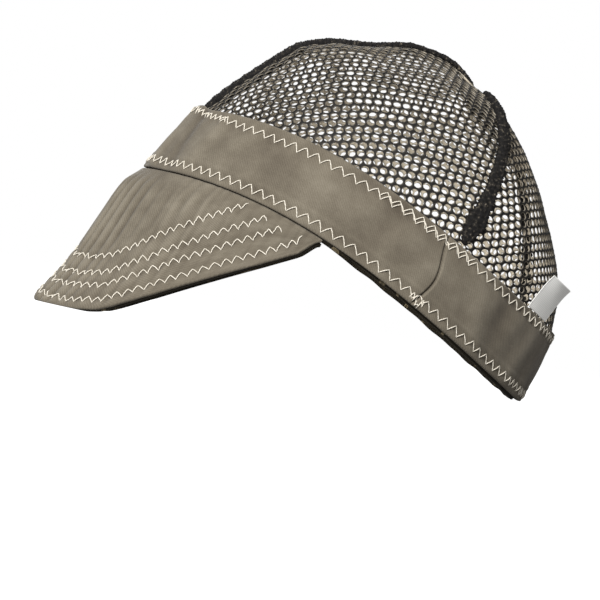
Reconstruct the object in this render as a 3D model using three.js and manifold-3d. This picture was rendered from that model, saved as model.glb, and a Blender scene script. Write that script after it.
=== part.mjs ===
// A soft cotton welding cap with a net crown, lying on a flat surface.
// It rests on the lower edge of its peak and on the back of its band.
// Millimetres, +Z up, the front of the cap towards -X and the wearer's left towards -Y.

import * as THREE from 'three';
import { mergeVertices } from 'three/addons/utils/BufferGeometryUtils.js';
import Module from 'manifold-3d';

// Rim: the lower edge of the band, an egg shape arched over the ears
const rimLength = 212;
const rimWidth = 156;
const rearFullness = 0.05; // the rear half is wider, the front half narrower, by this share
const rimArch = 14.8; // how far the rim rises over the ears
const archForward = 0.4; // share by which the arch leans towards the front

// Band: twill outside, printed cotton inside
const bandHeight = 36.5;
const bandCloth = 1.6;
const bandBulge = 0.7; // the middle of its height stands out by this much
const bandLean = { front: 6.8, side: 3.2, rear: 2.6 }; // how far its top edge leans inwards
const liningCloth = 1.2;
const liningShow = 1.4; // the lining shows this much below the band
const liningTopInset = 2; // and stops this far below the band's top edge

// Crown: three panels of net that are tucked behind the band and meet at the apex
const netCloth = 1.2;
const crownTuck = 9;
const crownRise = 78.5; // apex above the band's front top edge
const apexBack = 115; // apex behind the front of the rim
const netDivisions = 16; // steps of the lattice along each side of a panel
const netOpening = 0.68; // width of each gap, as a share of its cell
const panelGap = 0.5; // between two panels, under the seam
const panelSag = 3; // each panel hangs in this far between its seams
const panelTip = 0.985; // share of the rise where a panel ends

// How far in towards the apex, and how far up to it, the crown is at even steps of its rise
const crownProfile = [
  { frontIn: 0.0, frontUp: 0.0, sideIn: 0.0, sideUp: 0.0, rearIn: 0.0, rearUp: 0.0 },
  { frontIn: 0.065, frontUp: 0.22, sideIn: 0.03, sideUp: 0.21, rearIn: 0.05, rearUp: 0.18 },
  { frontIn: 0.14, frontUp: 0.44, sideIn: 0.09, sideUp: 0.42, rearIn: 0.14, rearUp: 0.35 },
  { frontIn: 0.22, frontUp: 0.65, sideIn: 0.18, sideUp: 0.6, rearIn: 0.25, rearUp: 0.51 },
  { frontIn: 0.33, frontUp: 0.775, sideIn: 0.3, sideUp: 0.76, rearIn: 0.38, rearUp: 0.66 },
  { frontIn: 0.5, frontUp: 0.89, sideIn: 0.45, sideUp: 0.88, rearIn: 0.52, rearUp: 0.78 },
  { frontIn: 0.66, frontUp: 1.02, sideIn: 0.62, sideUp: 0.97, rearIn: 0.67, rearUp: 0.865 },
  { frontIn: 0.83, frontUp: 1.06, sideIn: 0.81, sideUp: 1.01, rearIn: 0.84, rearUp: 0.945 },
  { frontIn: 1.0, frontUp: 1.0, sideIn: 1.0, sideUp: 1.0, rearIn: 1.0, rearUp: 1.0 },
];

// Dents of the net: where each is, in degrees round the cap and as a share of the rise, how deep
// it is as a share of the crown's height, and how far it reaches in the same measures
const crownDents = [
  { angle: 96, rise: 0.8, depth: 0.05, turn: 15, reach: 0.1 },
  { angle: 165, rise: 0.5, depth: 0.03, turn: 14, reach: 0.22 },
  { angle: 300, rise: 0.55, depth: 0.04, turn: 20, reach: 0.2 },
  { angle: 40, rise: 0.3, depth: 0.02, turn: 14, reach: 0.16 },
];

// Seams of the crown, each covered by a strip of folded net. Their angles are round the rim from
// the front, growing towards the wearer's left, at the band and at the apex.
const frontSeamWidth = 11;
const rearSeamWidth = 8;
const seams = [
  { name: 'seam_front', atBand: 9, atApex: 0, width: frontSeamWidth, from: 0.01, to: 1.0 },
  { name: 'seam_rear_left', atBand: 114, atApex: 118, width: rearSeamWidth, from: 0.01, to: 0.91 },
  { name: 'seam_rear_right', atBand: 214, atApex: 242, width: rearSeamWidth, from: 0.01, to: 0.91 },
];
const seamCloth = 1.4;
const seamSteps = 22;

// Peak: quilted twill with a printed lining below it, drooping nearly straight down
const peakDrop = 82; // longest way from the band to the free edge
const peakHalfAngle = 82; // where its corners meet the band
const peakFlare = 12; // how far the free edge stands out in front of the rim
const peakCloth = 1.8;
const peakLiningShow = 1.2; // the lining shows this much below the free edge
const peakInset = 0.5; // the peak is set back from the band by this much

// Length of the peak at even steps from its middle to a corner
const peakOutline = [0.955, 0.995, 1.0, 0.985, 0.93, 0.755, 0.54, 0.31, 0.06];

// How far out the peak stands at even steps from the band down to the free edge
const peakSection = [0, 0.37, 0.44, 0.45, 0.47, 0.53, 0.63, 0.79, 1.0];

// Care label, sewn in over the top of the band at the back
const labelWidth = 18;
const labelLength = 19;
const labelCloth = 1;
const labelAngle = 150;
const labelLean = 2; // degrees from upright at its root
const labelCurl = 16; // degrees more at its free end

// Pieces stay this far apart where they are sewn together
const clearance = 0.3;
const seamClearance = 0.75;
const liningClearance = 0.37; // from the tucked net, whose flat facets cut the curve short

// The cap settles onto the surface by this much, and its cloth is flat there
const settle = 0.7;

const twillMaterial = { color: 0x857b6b, roughness: 0.9, metalness: 0 };
const printMaterial = { color: 0x4a4030, roughness: 0.9, metalness: 0 };
const netMaterial = { color: 0x2a2622, roughness: 0.8, metalness: 0 };
const seamMaterial = { color: 0x1c1a18, roughness: 0.9, metalness: 0 };
const labelMaterial = { color: 0xe4e4e2, roughness: 0.7, metalness: 0 };

const wasm = await Module();
wasm.setup();

const radians = THREE.MathUtils.degToRad;
const halfLength = rimLength / 2;
const halfWidth = rimWidth / 2;

// Surfaces in the cap's own frame: X back along the rim, Z up from it

// Blends a front, a side and a rear value round the cap
function around(angle, front, side, rear) {
  const towardsEnd = Math.cos(angle) ** 2;
  return (Math.cos(angle) > 0 ? front : rear) * towardsEnd + side * (1 - towardsEnd);
}

function outward(angle) {
  return new THREE.Vector3(-halfWidth * Math.cos(angle), -halfLength * Math.sin(angle), 0).normalize();
}

function rimPoint(angle) {
  const across = halfWidth * Math.sin(angle) * (1 - rearFullness * Math.cos(angle));
  const arch = rimArch * Math.sin(angle) ** 2 * (1 + archForward * Math.cos(angle));
  return new THREE.Vector3(halfLength * (1 - Math.cos(angle)), -across, arch);
}

function bandPoint(angle, height) {
  const share = height / bandHeight;
  const lean = around(angle, bandLean.front, bandLean.side, bandLean.rear) * share;
  const bulge = bandBulge * Math.sin(Math.PI * share);
  return rimPoint(angle)
    .addScaledVector(outward(angle), bulge - lean)
    .add(new THREE.Vector3(0, 0, height));
}

// A smooth curve through evenly spaced shares
function smooth(values) {
  const curve = new THREE.CatmullRomCurve3(values.map((value) => new THREE.Vector3(value, 0, 0)));
  return (share) => curve.getPoint(THREE.MathUtils.clamp(share, 0, 1)).x;
}

const profile = Object.fromEntries(
  Object.keys(crownProfile[0]).map((name) => [name, smooth(crownProfile.map((row) => row[name]))]),
);
const peakLength = smooth(peakOutline);
const peakOut = smooth(peakSection);
const apex = new THREE.Vector3(apexBack, 0, bandHeight + crownRise);

function seamAngle(seam, rise) {
  return radians(THREE.MathUtils.lerp(seam.atBand, seam.atApex, rise));
}

// How far between its two seams an angle lies, as a bump from 0 at a seam to 1 between them
function betweenSeams(angle, rise) {
  const angles = seams.map((seam) => seamAngle(seam, rise));
  const turn = 2 * Math.PI;
  const from = ((angle - angles[0]) % turn + turn) % turn;
  const stops = [...angles.map((value) => value - angles[0]), turn];
  const next = stops.findIndex((stop) => stop > from);
  const share = (from - stops[next - 1]) / (stops[next] - stops[next - 1]);
  return Math.sin(Math.PI * share) ** 2;
}

function dentAt(angle, rise) {
  return crownDents.reduce((total, dent) => {
    const away = Math.abs(THREE.MathUtils.radToDeg(angle) - dent.angle) % 360;
    const aside = Math.min(away, 360 - away) / dent.turn;
    const above = (rise - dent.rise) / dent.reach;
    return total + dent.depth * crownRise * Math.exp(-(aside ** 2) - above ** 2);
  }, 0);
}

function crownPoint(angle, rise) {
  const inwards = around(angle, profile.frontIn(rise), profile.sideIn(rise), profile.rearIn(rise));
  const upwards = around(angle, profile.frontUp(rise), profile.sideUp(rise), profile.rearUp(rise));
  const base = inset(bandPoint, angle, bandHeight, bandCloth + clearance);
  const sag = panelSag * betweenSeams(angle, rise) * Math.sin(Math.PI * rise);
  return new THREE.Vector3(
    THREE.MathUtils.lerp(base.x, apex.x, inwards),
    THREE.MathUtils.lerp(base.y, apex.y, inwards),
    THREE.MathUtils.lerp(base.z, apex.z, upwards),
  ).addScaledVector(outward(angle), -sag - dentAt(angle, rise));
}

// Outline of the peak: its length at an angle, longest near the middle
function peakDropAt(angle) {
  return peakDrop * peakLength(Math.abs(angle) / radians(peakHalfAngle));
}

// The peak, with down from 0 at the band to 1 at the free edge and extra cloth past that edge
function peakPoint(angle, down, extra) {
  const drop = peakDropAt(angle);
  const out = peakFlare * peakOut(down) * (drop / peakDrop);
  return rimPoint(angle)
    .addScaledVector(outward(angle), out - peakInset)
    .add(new THREE.Vector3(0, 0, -clearance - (drop + extra) * down));
}

function labelPoint(across, up) {
  const middle = radians(labelAngle);
  const angle = middle + (across - 0.5) * labelWidth / Math.hypot(
    halfLength * Math.sin(middle), halfWidth * Math.cos(middle));
  const lean = radians(labelLean + labelCurl * up / 2);
  return bandPoint(angle, bandHeight)
    .addScaledVector(outward(middle), labelLength * up * Math.sin(lean))
    .add(new THREE.Vector3(0, 0, clearance + labelLength * up * Math.cos(lean)));
}

// Cloth: flat sheets of triangles laid on a surface and given a thickness

function normalAt(surface, p, q) {
  const step = 1e-3;
  const alongP = surface(p + step, q).sub(surface(p - step, q));
  const alongQ = surface(p, q + step).sub(surface(p, q - step));
  return alongP.cross(alongQ).normalize();
}

function inset(surface, p, q, depth) {
  return surface(p, q).addScaledVector(normalAt(surface, p, q), -depth);
}

// A grid of quads, which may close on itself across its columns
function gridSheet(columns, rows, closes) {
  const points = [];
  const triangles = [];
  const width = closes ? columns : columns + 1;
  for (let row = 0; row <= rows; row += 1) {
    for (let column = 0; column < width; column += 1) points.push([column / columns, row / rows]);
  }
  for (let row = 0; row < rows; row += 1) {
    for (let column = 0; column < columns; column += 1) {
      const next = (column + 1) % width;
      const low = row * width;
      const high = low + width;
      triangles.push([low + column, low + next, high + next]);
      triangles.push([low + column, high + next, high + column]);
    }
  }
  return { points, triangles };
}

// A triangle of net with its point at the top: every third point of an even lattice
// is the middle of a six-sided gap, except along the edges, which stay whole
function netSheet(divisions, opening) {
  const points = [];
  const triangles = [];
  const known = new Map();
  const gapClass = (2 * divisions) % 3;

  function point(i, j) {
    const key = `${i.toFixed(4)},${j.toFixed(4)}`;
    if (!known.has(key)) {
      known.set(key, points.length);
      const width = divisions - j;
      points.push([width > 0 ? i / width : 0.5, j / divisions]);
    }
    return known.get(key);
  }

  function isGap([i, j]) {
    const inside = i > 0 && j > 0 && i + j < divisions;
    return inside && (i - j + 3 * divisions) % 3 === gapClass;
  }

  function towards([ci, cj], [i, j]) {
    return point(ci + (i - ci) * opening, cj + (j - cj) * opening);
  }

  function addCell(corners) {
    const gap = corners.findIndex(isGap);
    if (gap < 0) {
      triangles.push(corners.map(([i, j]) => point(i, j)));
      return;
    }
    const [centre, first, second] = [0, 1, 2].map((turn) => corners[(gap + turn) % 3]);
    const [outerFirst, outerSecond] = [point(...first), point(...second)];
    const [innerFirst, innerSecond] = [towards(centre, first), towards(centre, second)];
    triangles.push([innerFirst, outerFirst, outerSecond], [innerFirst, outerSecond, innerSecond]);
  }

  for (let j = 0; j < divisions; j += 1) {
    for (let i = 0; i + j < divisions; i += 1) {
      addCell([[i, j], [i + 1, j], [i, j + 1]]);
      if (i + j + 1 < divisions) addCell([[i + 1, j], [i + 1, j + 1], [i, j + 1]]);
    }
  }
  return { points, triangles };
}

// Gives a sheet its thickness: place(p, q, depth) puts a point of it on or below the surface
function thicken(sheet, place, thickness) {
  const count = sheet.points.length;
  const vertices = [0, thickness].flatMap(
    (depth) => sheet.points.flatMap(([p, q]) => place(p, q, depth).toArray()),
  );
  const edges = new Set(sheet.triangles.flatMap(([a, b, c]) => [`${a},${b}`, `${b},${c}`, `${c},${a}`]));
  const faces = [];
  for (const [a, b, c] of sheet.triangles) {
    faces.push(a, b, c, a + count, c + count, b + count);
    for (const [from, to] of [[a, b], [b, c], [c, a]]) {
      if (!edges.has(`${to},${from}`)) {
        faces.push(from, from + count, to + count, from, to + count, to);
      }
    }
  }
  const geometry = new THREE.BufferGeometry();
  geometry.setAttribute('position', new THREE.Float32BufferAttribute(vertices, 3));
  geometry.setIndex(faces);
  return geometry;
}

// Pieces in the cap's own frame

function bandGeometry() {
  const place = (p, q, depth) => inset(bandPoint, 2 * Math.PI * p, bandHeight * q, depth);
  return thicken(gridSheet(64, 4, true), place, bandCloth);
}

// The lining shows below the band behind the peak's corners, and runs level with it in front
function liningShowAt(angle) {
  const behindPeak = THREE.MathUtils.smoothstep(-Math.cos(angle), -Math.cos(radians(peakHalfAngle)), 0.1);
  return liningShow * behindPeak;
}

function bandLiningGeometry() {
  const stack = bandCloth + clearance + netCloth + liningClearance;
  const place = (p, q, depth) => {
    const angle = 2 * Math.PI * p;
    const height = THREE.MathUtils.lerp(-liningShowAt(angle), bandHeight - liningTopInset, q);
    return inset(bandPoint, angle, height, stack + depth);
  };
  return thicken(gridSheet(64, 3, true), place, liningCloth);
}

function crownGeometry(left, right) {
  const tuckShare = 1 / netDivisions;
  const surface = (p, q) => {
    const rise = Math.max(q - tuckShare, 0) / (1 - tuckShare) * panelTip;
    const start = seamAngle(left, rise);
    const end = seamAngle(right, rise) + (right === seams[0] ? 2 * Math.PI : 0);
    const edge = crownPoint(start, rise);
    const radius = Math.hypot(edge.x - apex.x, edge.y - apex.y);
    const margin = panelGap / 2 / radius;
    const angle = THREE.MathUtils.lerp(start + margin, end - margin, p);
    if (q >= tuckShare) return crownPoint(angle, rise);
    const height = bandHeight - crownTuck * (1 - q / tuckShare);
    return inset(bandPoint, angle, height, bandCloth + clearance);
  };
  return thicken(
    netSheet(netDivisions, netOpening),
    (p, q, depth) => inset(surface, p, Math.min(q, panelTip), depth),
    netCloth,
  );
}

// A strip of folded net that lies along a seam, outside the panels
function seamGeometry(seam) {
  const place = (p, q, depth) => {
    const rise = THREE.MathUtils.lerp(seam.from, Math.min(seam.to, panelTip), q);
    const middle = seamAngle(seam, rise);
    const spine = crownPoint(middle, rise);
    const radius = Math.hypot(spine.x - apex.x, spine.y - apex.y);
    const angle = middle + Math.atan2((p - 0.5) * seam.width, radius);
    return inset(crownPoint, angle, rise, depth - seamCloth - seamClearance);
  };
  return thicken(gridSheet(2, seamSteps, false), place, seamCloth);
}

function peakSheetGeometry(depthBelow, cloth, extra) {
  const surface = (p, q) => {
    const angle = radians(peakHalfAngle) * (2 * p - 1);
    return peakPoint(angle, 1 - q, extra);
  };
  const place = (p, q, depth) => inset(surface, p, q, depthBelow + depth);
  return thicken(gridSheet(44, 9, false), place, cloth);
}

function labelGeometry() {
  return thicken(gridSheet(4, 6, false), (p, q, depth) => inset(labelPoint, p, q, depth), labelCloth);
}

// Rest: the cap tips back onto the lowest part of its peak's edge and the back of its band

function restPlacement() {
  const back = rimPoint(Math.PI);
  const steps = 60;
  const edge = Array.from({ length: steps + 1 }, (_, index) => (
    peakPoint(radians(peakHalfAngle) * index / steps, 1, 0)
  ));
  const tilts = edge.map((point) => Math.atan2(back.z - point.z, back.x - point.x));
  const tilt = Math.max(...tilts);
  const turn = new THREE.Matrix4().makeRotationY(tilt);
  const height = back.clone().applyMatrix4(turn).z + settle;
  return new THREE.Matrix4().makeTranslation(0, 0, -height).multiply(turn);
}

function toSolid(geometry) {
  const bare = geometry.clone();
  bare.deleteAttribute('normal');
  bare.deleteAttribute('uv');
  const merged = mergeVertices(bare, 1e-5);
  return new wasm.Manifold(new wasm.Mesh({
    numProp: 3,
    vertProperties: Float32Array.from(merged.attributes.position.array),
    triVerts: Uint32Array.from(merged.index.array),
  }));
}

function toGeometry(solid) {
  const mesh = solid.getMesh();
  const geometry = new THREE.BufferGeometry();
  geometry.setAttribute('position', new THREE.BufferAttribute(mesh.vertProperties, 3));
  geometry.setIndex(new THREE.BufferAttribute(mesh.triVerts, 1));
  return geometry;
}

// Cuts away what would be below the surface that the cap rests on
function flattenedBelow(geometry) {
  const size = 2 * (rimLength + peakDrop);
  const depth = 20;
  const floor = new THREE.BoxGeometry(size, size, depth).translate(0, 0, -depth / 2);
  return toGeometry(toSolid(geometry).subtract(toSolid(floor)));
}

const placement = restPlacement();

const pieces = [
  { name: 'band', geometry: bandGeometry(), material: twillMaterial, rests: true },
  { name: 'band_lining', geometry: bandLiningGeometry(), material: printMaterial, rests: true },
  { name: 'peak', geometry: peakSheetGeometry(0, peakCloth, 0), material: twillMaterial, rests: true },
  {
    name: 'peak_lining',
    geometry: peakSheetGeometry(peakCloth + clearance, liningCloth, peakLiningShow),
    material: printMaterial,
    rests: true,
  },
  { name: 'crown_left', geometry: crownGeometry(seams[0], seams[1]), material: netMaterial },
  { name: 'crown_rear', geometry: crownGeometry(seams[1], seams[2]), material: netMaterial },
  { name: 'crown_right', geometry: crownGeometry(seams[2], seams[0]), material: netMaterial },
  ...seams.map((seam) => ({ name: seam.name, geometry: seamGeometry(seam), material: seamMaterial })),
  { name: 'label', geometry: labelGeometry(), material: labelMaterial },
];

const cap = new THREE.Group();
const extent = new THREE.Box3();
for (const { name, geometry, material, rests } of pieces) {
  geometry.applyMatrix4(placement);
  const finished = rests ? flattenedBelow(geometry) : geometry;
  finished.computeBoundingBox();
  extent.union(finished.boundingBox);
  const mesh = new THREE.Mesh(finished, new THREE.MeshStandardMaterial(material));
  mesh.name = name;
  cap.add(mesh);
}

// The origin is on the surface, under the middle of the cap
const middle = extent.getCenter(new THREE.Vector3());
for (const mesh of cap.children) mesh.geometry.translate(-middle.x, -middle.y, 0);

export default cap;
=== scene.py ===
"""Looks of a soft cotton welding cap with a net crown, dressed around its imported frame.

The cap lies on its peak's edge and the back of its band. Its surfaces are worked out in
millimetres in the cap's own frame, with X back along the rim, Z up from it and the wearer's
left towards -Y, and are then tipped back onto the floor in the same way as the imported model.
"""

import logging
from dataclasses import dataclass, field
from enum import Enum
from typing import Callable

import bpy
import numpy as np
from mathutils import Matrix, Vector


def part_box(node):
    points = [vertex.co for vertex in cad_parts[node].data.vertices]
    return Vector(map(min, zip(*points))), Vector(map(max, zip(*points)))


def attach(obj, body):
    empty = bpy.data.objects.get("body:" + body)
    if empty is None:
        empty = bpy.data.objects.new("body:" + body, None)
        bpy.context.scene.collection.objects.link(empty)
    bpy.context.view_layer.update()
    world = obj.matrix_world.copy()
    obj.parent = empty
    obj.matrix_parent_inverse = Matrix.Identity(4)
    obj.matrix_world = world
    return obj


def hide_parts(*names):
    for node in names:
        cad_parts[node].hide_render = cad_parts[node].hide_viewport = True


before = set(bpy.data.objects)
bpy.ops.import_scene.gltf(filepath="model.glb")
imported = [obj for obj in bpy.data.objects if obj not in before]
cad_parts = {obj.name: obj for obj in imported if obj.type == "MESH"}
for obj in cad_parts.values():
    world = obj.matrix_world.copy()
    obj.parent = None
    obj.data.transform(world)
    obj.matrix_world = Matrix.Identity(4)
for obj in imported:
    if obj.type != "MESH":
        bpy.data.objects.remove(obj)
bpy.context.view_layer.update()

Array = np.ndarray
Surface = Callable[[Array, Array], Array]

MM = 0.001
TURN = 2 * np.pi
BODY = "root"
ON_PANEL = -1e-6  # shares of a triangle's corners no lower than this are on it

log = logging.getLogger("welding_cap")


class Slot(Enum):
    """Names for material slots; no piece here is given one."""

    TWILL = "twill"
    LINING = "printed_lining"
    NET = "net"
    FOLDED_NET = "folded_net"
    LABEL = "label_tape"


def unit(vectors: Array) -> Array:
    """Vectors scaled to a length of 1."""
    length = np.linalg.norm(vectors, axis=-1, keepdims=True)
    return vectors / np.maximum(length, 1e-12)


def upright(heights: Array) -> Array:
    """Vectors straight up, as long as the heights."""
    return heights[..., None] * np.array([0.0, 0.0, 1.0])


def mix(low: Array, high: Array, share: Array) -> Array:
    """The value at a share of the way from low to high."""
    return low + (high - low) * share


def smoothstep(value: Array, low: float, high: float) -> Array:
    """A soft step from 0 at low to 1 at high: thrice the share squared less twice its cube."""
    share = np.clip((value - low) / (high - low), 0, 1)
    return share * share * (3 - 2 * share)


def bell(value: Array, middle: float, reach: float) -> Array:
    """A bump of height 1 at middle that fades away over reach."""
    return np.exp(-(((value - middle) / reach) ** 2))


def angle_from(angle: Array, middle: float) -> Array:
    """How far an angle is from middle, in degrees, the short way round the cap."""
    return (np.degrees(angle) - middle + 180) % 360 - 180


class Spline:
    """A centripetal Catmull-Rom curve through evenly spaced values."""

    SHORTEST = 1e-4  # a shorter step between two values counts as none

    def __init__(self, values: list[float]) -> None:
        """Works out the cubic of each stretch, with slopes weighed by the roots of the steps.

        Args:
            values: what the curve passes through, from share 0 to share 1.
        """
        v = np.asarray(values, float)
        ends = np.concatenate([[2 * v[0] - v[1]], v, [2 * v[-1] - v[-2]]])
        x0, x1, x2, x3 = ends[:-3], ends[1:-2], ends[2:-1], ends[3:]
        d0, d1, d2 = (np.sqrt(np.abs(b - a)) for a, b in ((x0, x1), (x1, x2), (x2, x3)))
        d1 = np.where(d1 < self.SHORTEST, 1.0, d1)
        d0 = np.where(d0 < self.SHORTEST, d1, d0)
        d2 = np.where(d2 < self.SHORTEST, d1, d2)
        t1 = ((x1 - x0) / d0 - (x2 - x0) / (d0 + d1) + (x2 - x1) / d1) * d1
        t2 = ((x2 - x1) / d1 - (x3 - x1) / (d1 + d2) + (x3 - x2) / d2) * d1
        self.terms = np.stack([x1, t1, -3 * x1 + 3 * x2 - 2 * t1 - t2, 2 * x1 - 2 * x2 + t1 + t2])

    def __call__(self, share: Array) -> Array:
        """Reads the curve: the cubic of the stretch that a share falls in.

        Args:
            share: shares of the way along the curve.

        Returns:
            The curve's value at each.
        """
        stretches = self.terms.shape[1]
        place = np.clip(share, 0, 1) * stretches
        stretch = np.minimum(place.astype(int), stretches - 1)
        c0, c1, c2, c3 = self.terms[:, stretch]
        t = place - stretch
        return c0 + t * (c1 + t * (c2 + t * c3))


@dataclass(frozen=True)
class Seam:
    """A crown seam: its angles round the rim in degrees, its width, and its ends along the rise."""

    node: str
    at_band: float
    at_apex: float
    width: float
    start: float
    end: float

    def angle(self, rise: Array) -> Array:
        """The seam's angle in radians at a share of the rise."""
        return np.radians(mix(self.at_band, self.at_apex, rise))


@dataclass(frozen=True)
class Dent:
    """A hollow of the net, in degrees round the cap and shares of the crown's rise."""

    angle: float
    rise: float
    depth: float
    turn: float  # degrees over which it fades to either side
    reach: float  # share of the rise over which it fades up and down


@dataclass
class CapForm:
    """The cap's surfaces in its own frame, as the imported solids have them.

    Lengths are in millimetres and angles in degrees. The profiles ending in _in and _up say how
    far the crown has gone in and up at evenly spaced shares of its rise, and the peak's outline
    and section say how long it is at shares of its half angle and how far out at shares of its
    length.
    """

    rim_length: float = 212
    rim_width: float = 156
    rear_fullness: float = 0.05
    rim_arch: float = 14.8
    arch_forward: float = 0.4
    band_height: float = 36.5
    band_cloth: float = 1.6
    band_bulge: float = 0.7
    band_lean: tuple[float, float, float] = (6.8, 3.2, 2.6)
    lining_cloth: float = 1.2
    lining_show: float = 1.4
    lining_top_inset: float = 2
    net_cloth: float = 1.2
    crown_tuck: float = 9
    crown_rise: float = 78.5
    apex_back: float = 115
    tuck_share: float = 1 / 16
    panel_sag: float = 3
    panel_tip: float = 0.985
    front_in: tuple = (0, 0.065, 0.14, 0.22, 0.33, 0.5, 0.66, 0.83, 1)
    front_up: tuple = (0, 0.22, 0.44, 0.65, 0.775, 0.89, 1.02, 1.06, 1)
    side_in: tuple = (0, 0.03, 0.09, 0.18, 0.3, 0.45, 0.62, 0.81, 1)
    side_up: tuple = (0, 0.21, 0.42, 0.6, 0.76, 0.88, 0.97, 1.01, 1)
    rear_in: tuple = (0, 0.05, 0.14, 0.25, 0.38, 0.52, 0.67, 0.84, 1)
    rear_up: tuple = (0, 0.18, 0.35, 0.51, 0.66, 0.78, 0.865, 0.945, 1)
    dents: tuple[Dent, ...] = (
        Dent(96, 0.8, 0.05, 15, 0.1),
        Dent(165, 0.5, 0.03, 14, 0.22),
        Dent(300, 0.55, 0.04, 20, 0.2),
        Dent(40, 0.3, 0.02, 14, 0.16),
    )
    seams: tuple[Seam, ...] = (
        Seam("seam_front", 9, 0, 11, 0.01, 0.985),
        Seam("seam_rear_left", 114, 118, 8, 0.01, 0.91),
        Seam("seam_rear_right", 214, 242, 8, 0.01, 0.91),
    )
    seam_cloth: float = 1.4
    seam_clearance: float = 0.75
    peak_drop: float = 82
    peak_half_angle: float = 82
    peak_flare: float = 12
    peak_cloth: float = 1.8
    peak_lining_show: float = 1.2
    peak_inset: float = 0.5
    corner_from: float = 0.955  # share of the half angle where the peak's blunt corner begins
    corner_drawn: float = 0.7  # share of its length that the corner is drawn in by
    peak_outline: tuple = (0.955, 0.995, 1.0, 0.985, 0.93, 0.755, 0.54, 0.31, 0.06)
    peak_section: tuple = (0, 0.37, 0.44, 0.45, 0.47, 0.53, 0.63, 0.79, 1.0)
    label_width: float = 18
    label_length: float = 19
    label_angle: float = 150
    label_lean: float = 2
    label_curl: float = 16
    clearance: float = 0.3
    lining_clearance: float = 0.37
    settle: float = 0.7
    softness: float = 0.35  # how softly cloth that reaches the floor levels out on it
    packed_edge: int = 60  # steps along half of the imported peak's edge
    packed_ring: int = 64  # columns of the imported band
    packed_rows: int = 5  # its rows
    placement: Array = field(init=False)
    shift: Array = field(init=False)

    def __post_init__(self) -> None:
        """Makes the profiles and works out how the cap is tipped onto the floor."""
        self.profiles = {
            name: Spline(list(getattr(self, name)))
            for name in ("front_in", "front_up", "side_in", "side_up", "rear_in", "rear_up")
        }
        self.peak_length = Spline(list(self.peak_outline))
        self.peak_out = Spline(list(self.peak_section))
        self.apex = np.array([self.apex_back, 0, self.band_height + self.crown_rise])
        back = self.rim(np.array(np.pi))
        edge_shares = np.arange(self.packed_edge + 1)
        edge_angles = np.radians(self.peak_half_angle) * edge_shares / self.packed_edge
        edge = self.peak(edge_angles, np.ones_like(edge_angles), 0)
        tilt = np.max(np.arctan2(back[2] - edge[:, 2], back[0] - edge[:, 0]))
        cos, sin = np.cos(tilt), np.sin(tilt)
        self.placement = np.array([[cos, 0, sin], [0, 1, 0], [-sin, 0, cos]])
        self.shift = np.array([0, 0, -(self.placement @ back)[2] - self.settle])
        columns, rows = np.meshgrid(
            np.arange(self.packed_ring) / self.packed_ring * TURN,
            np.linspace(0, self.band_height, self.packed_rows),
        )
        packed_low, packed_high = (np.array(corner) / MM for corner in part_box("band"))
        band = self.band(columns, rows).reshape(-1, 3) @ self.placement.T
        self.shift[0] = packed_high[0] - band[:, 0].max()
        self.shift[1] = (packed_high[1] + packed_low[1] - band[:, 1].max() - band[:, 1].min()) / 2

    def placed(self, points: Array) -> Array:
        """Tips points onto the floor.

        A height z becomes half of z plus the root of z squared and a small length squared, so
        that cloth which would be below the floor is pressed flat just above it.

        Args:
            points: points of the cap's own frame, in millimetres.

        Returns:
            The points in the scene, in metres.
        """
        there = points @ self.placement.T + self.shift
        z = there[..., 2]
        there[..., 2] = (z + np.sqrt(z * z + self.softness * self.softness)) / 2
        return there * MM

    @staticmethod
    def around(angle: Array, front: Array, side: Array, rear: Array) -> Array:
        """Blends a front, a side and a rear value by the squared cosine of the angle."""
        towards_end = np.cos(angle) ** 2
        return np.where(np.cos(angle) > 0, front, rear) * towards_end + side * (1 - towards_end)

    def outward(self, angle: Array) -> Array:
        """The level direction that points out of the rim's oval, as vectors of length 1."""
        x, y = -self.rim_width / 2 * np.cos(angle), -self.rim_length / 2 * np.sin(angle)
        return unit(np.stack([x, y, np.zeros_like(x)], -1))

    def rim(self, angle: Array) -> Array:
        """The lower edge of the band: an egg shape arched over the ears by the squared sine.

        Args:
            angle: radians round the rim, from the front.

        Returns:
            Points of the cap's own frame.
        """
        cos, sin = np.cos(angle), np.sin(angle)
        across = self.rim_width / 2 * sin * (1 - self.rear_fullness * cos)
        arch = self.rim_arch * sin**2 * (1 + self.arch_forward * cos)
        return np.stack([self.rim_length / 2 * (1 - cos), -across, arch], -1)

    def band(self, angle: Array, height: Array) -> Array:
        """The band's outer face: the rim raised by height, leant in evenly and bulged as a sine.

        Args:
            angle: radians round the rim, from the front.
            height: millimetres above the rim.

        Returns:
            Points of the cap's own frame.
        """
        share = height / self.band_height
        lean = self.around(angle, *self.band_lean) * share
        out = self.band_bulge * np.sin(np.pi * share) - lean
        return self.rim(angle) + self.outward(angle) * out[..., None] + upright(height)

    def between_seams(self, angle: Array, rise: Array) -> Array:
        """A bump from 0 at a seam to 1 between two: the squared sine of the share between them.

        Args:
            angle: radians round the rim, from the front.
            rise: shares of the crown's rise.

        Returns:
            The bump's height.
        """
        first, second, third = (seam.angle(rise) for seam in self.seams)
        turn = (angle - first) % TURN
        stops = [np.zeros_like(turn), second - first, third - first, np.full_like(turn, TURN)]
        stretch = [turn < stops[1], turn < stops[2], turn <= stops[3]]
        shares = [(turn - a) / (b - a) for a, b in zip(stops[:-1], stops[1:])]
        return np.sin(np.pi * np.select(stretch, shares)) ** 2

    def dent(self, angle: Array, rise: Array) -> Array:
        """How deep the net's hollows are: the sum of bells round their middles.

        Args:
            angle: radians round the rim, from the front.
            rise: shares of the crown's rise.

        Returns:
            The depth in millimetres.
        """
        depth = np.zeros(np.broadcast(angle, rise).shape)
        for dent in self.dents:
            aside = angle_from(angle, dent.angle) / dent.turn
            above = (rise - dent.rise) / dent.reach
            depth = depth + dent.depth * self.crown_rise * np.exp(-(aside**2) - above**2)
        return depth

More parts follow.
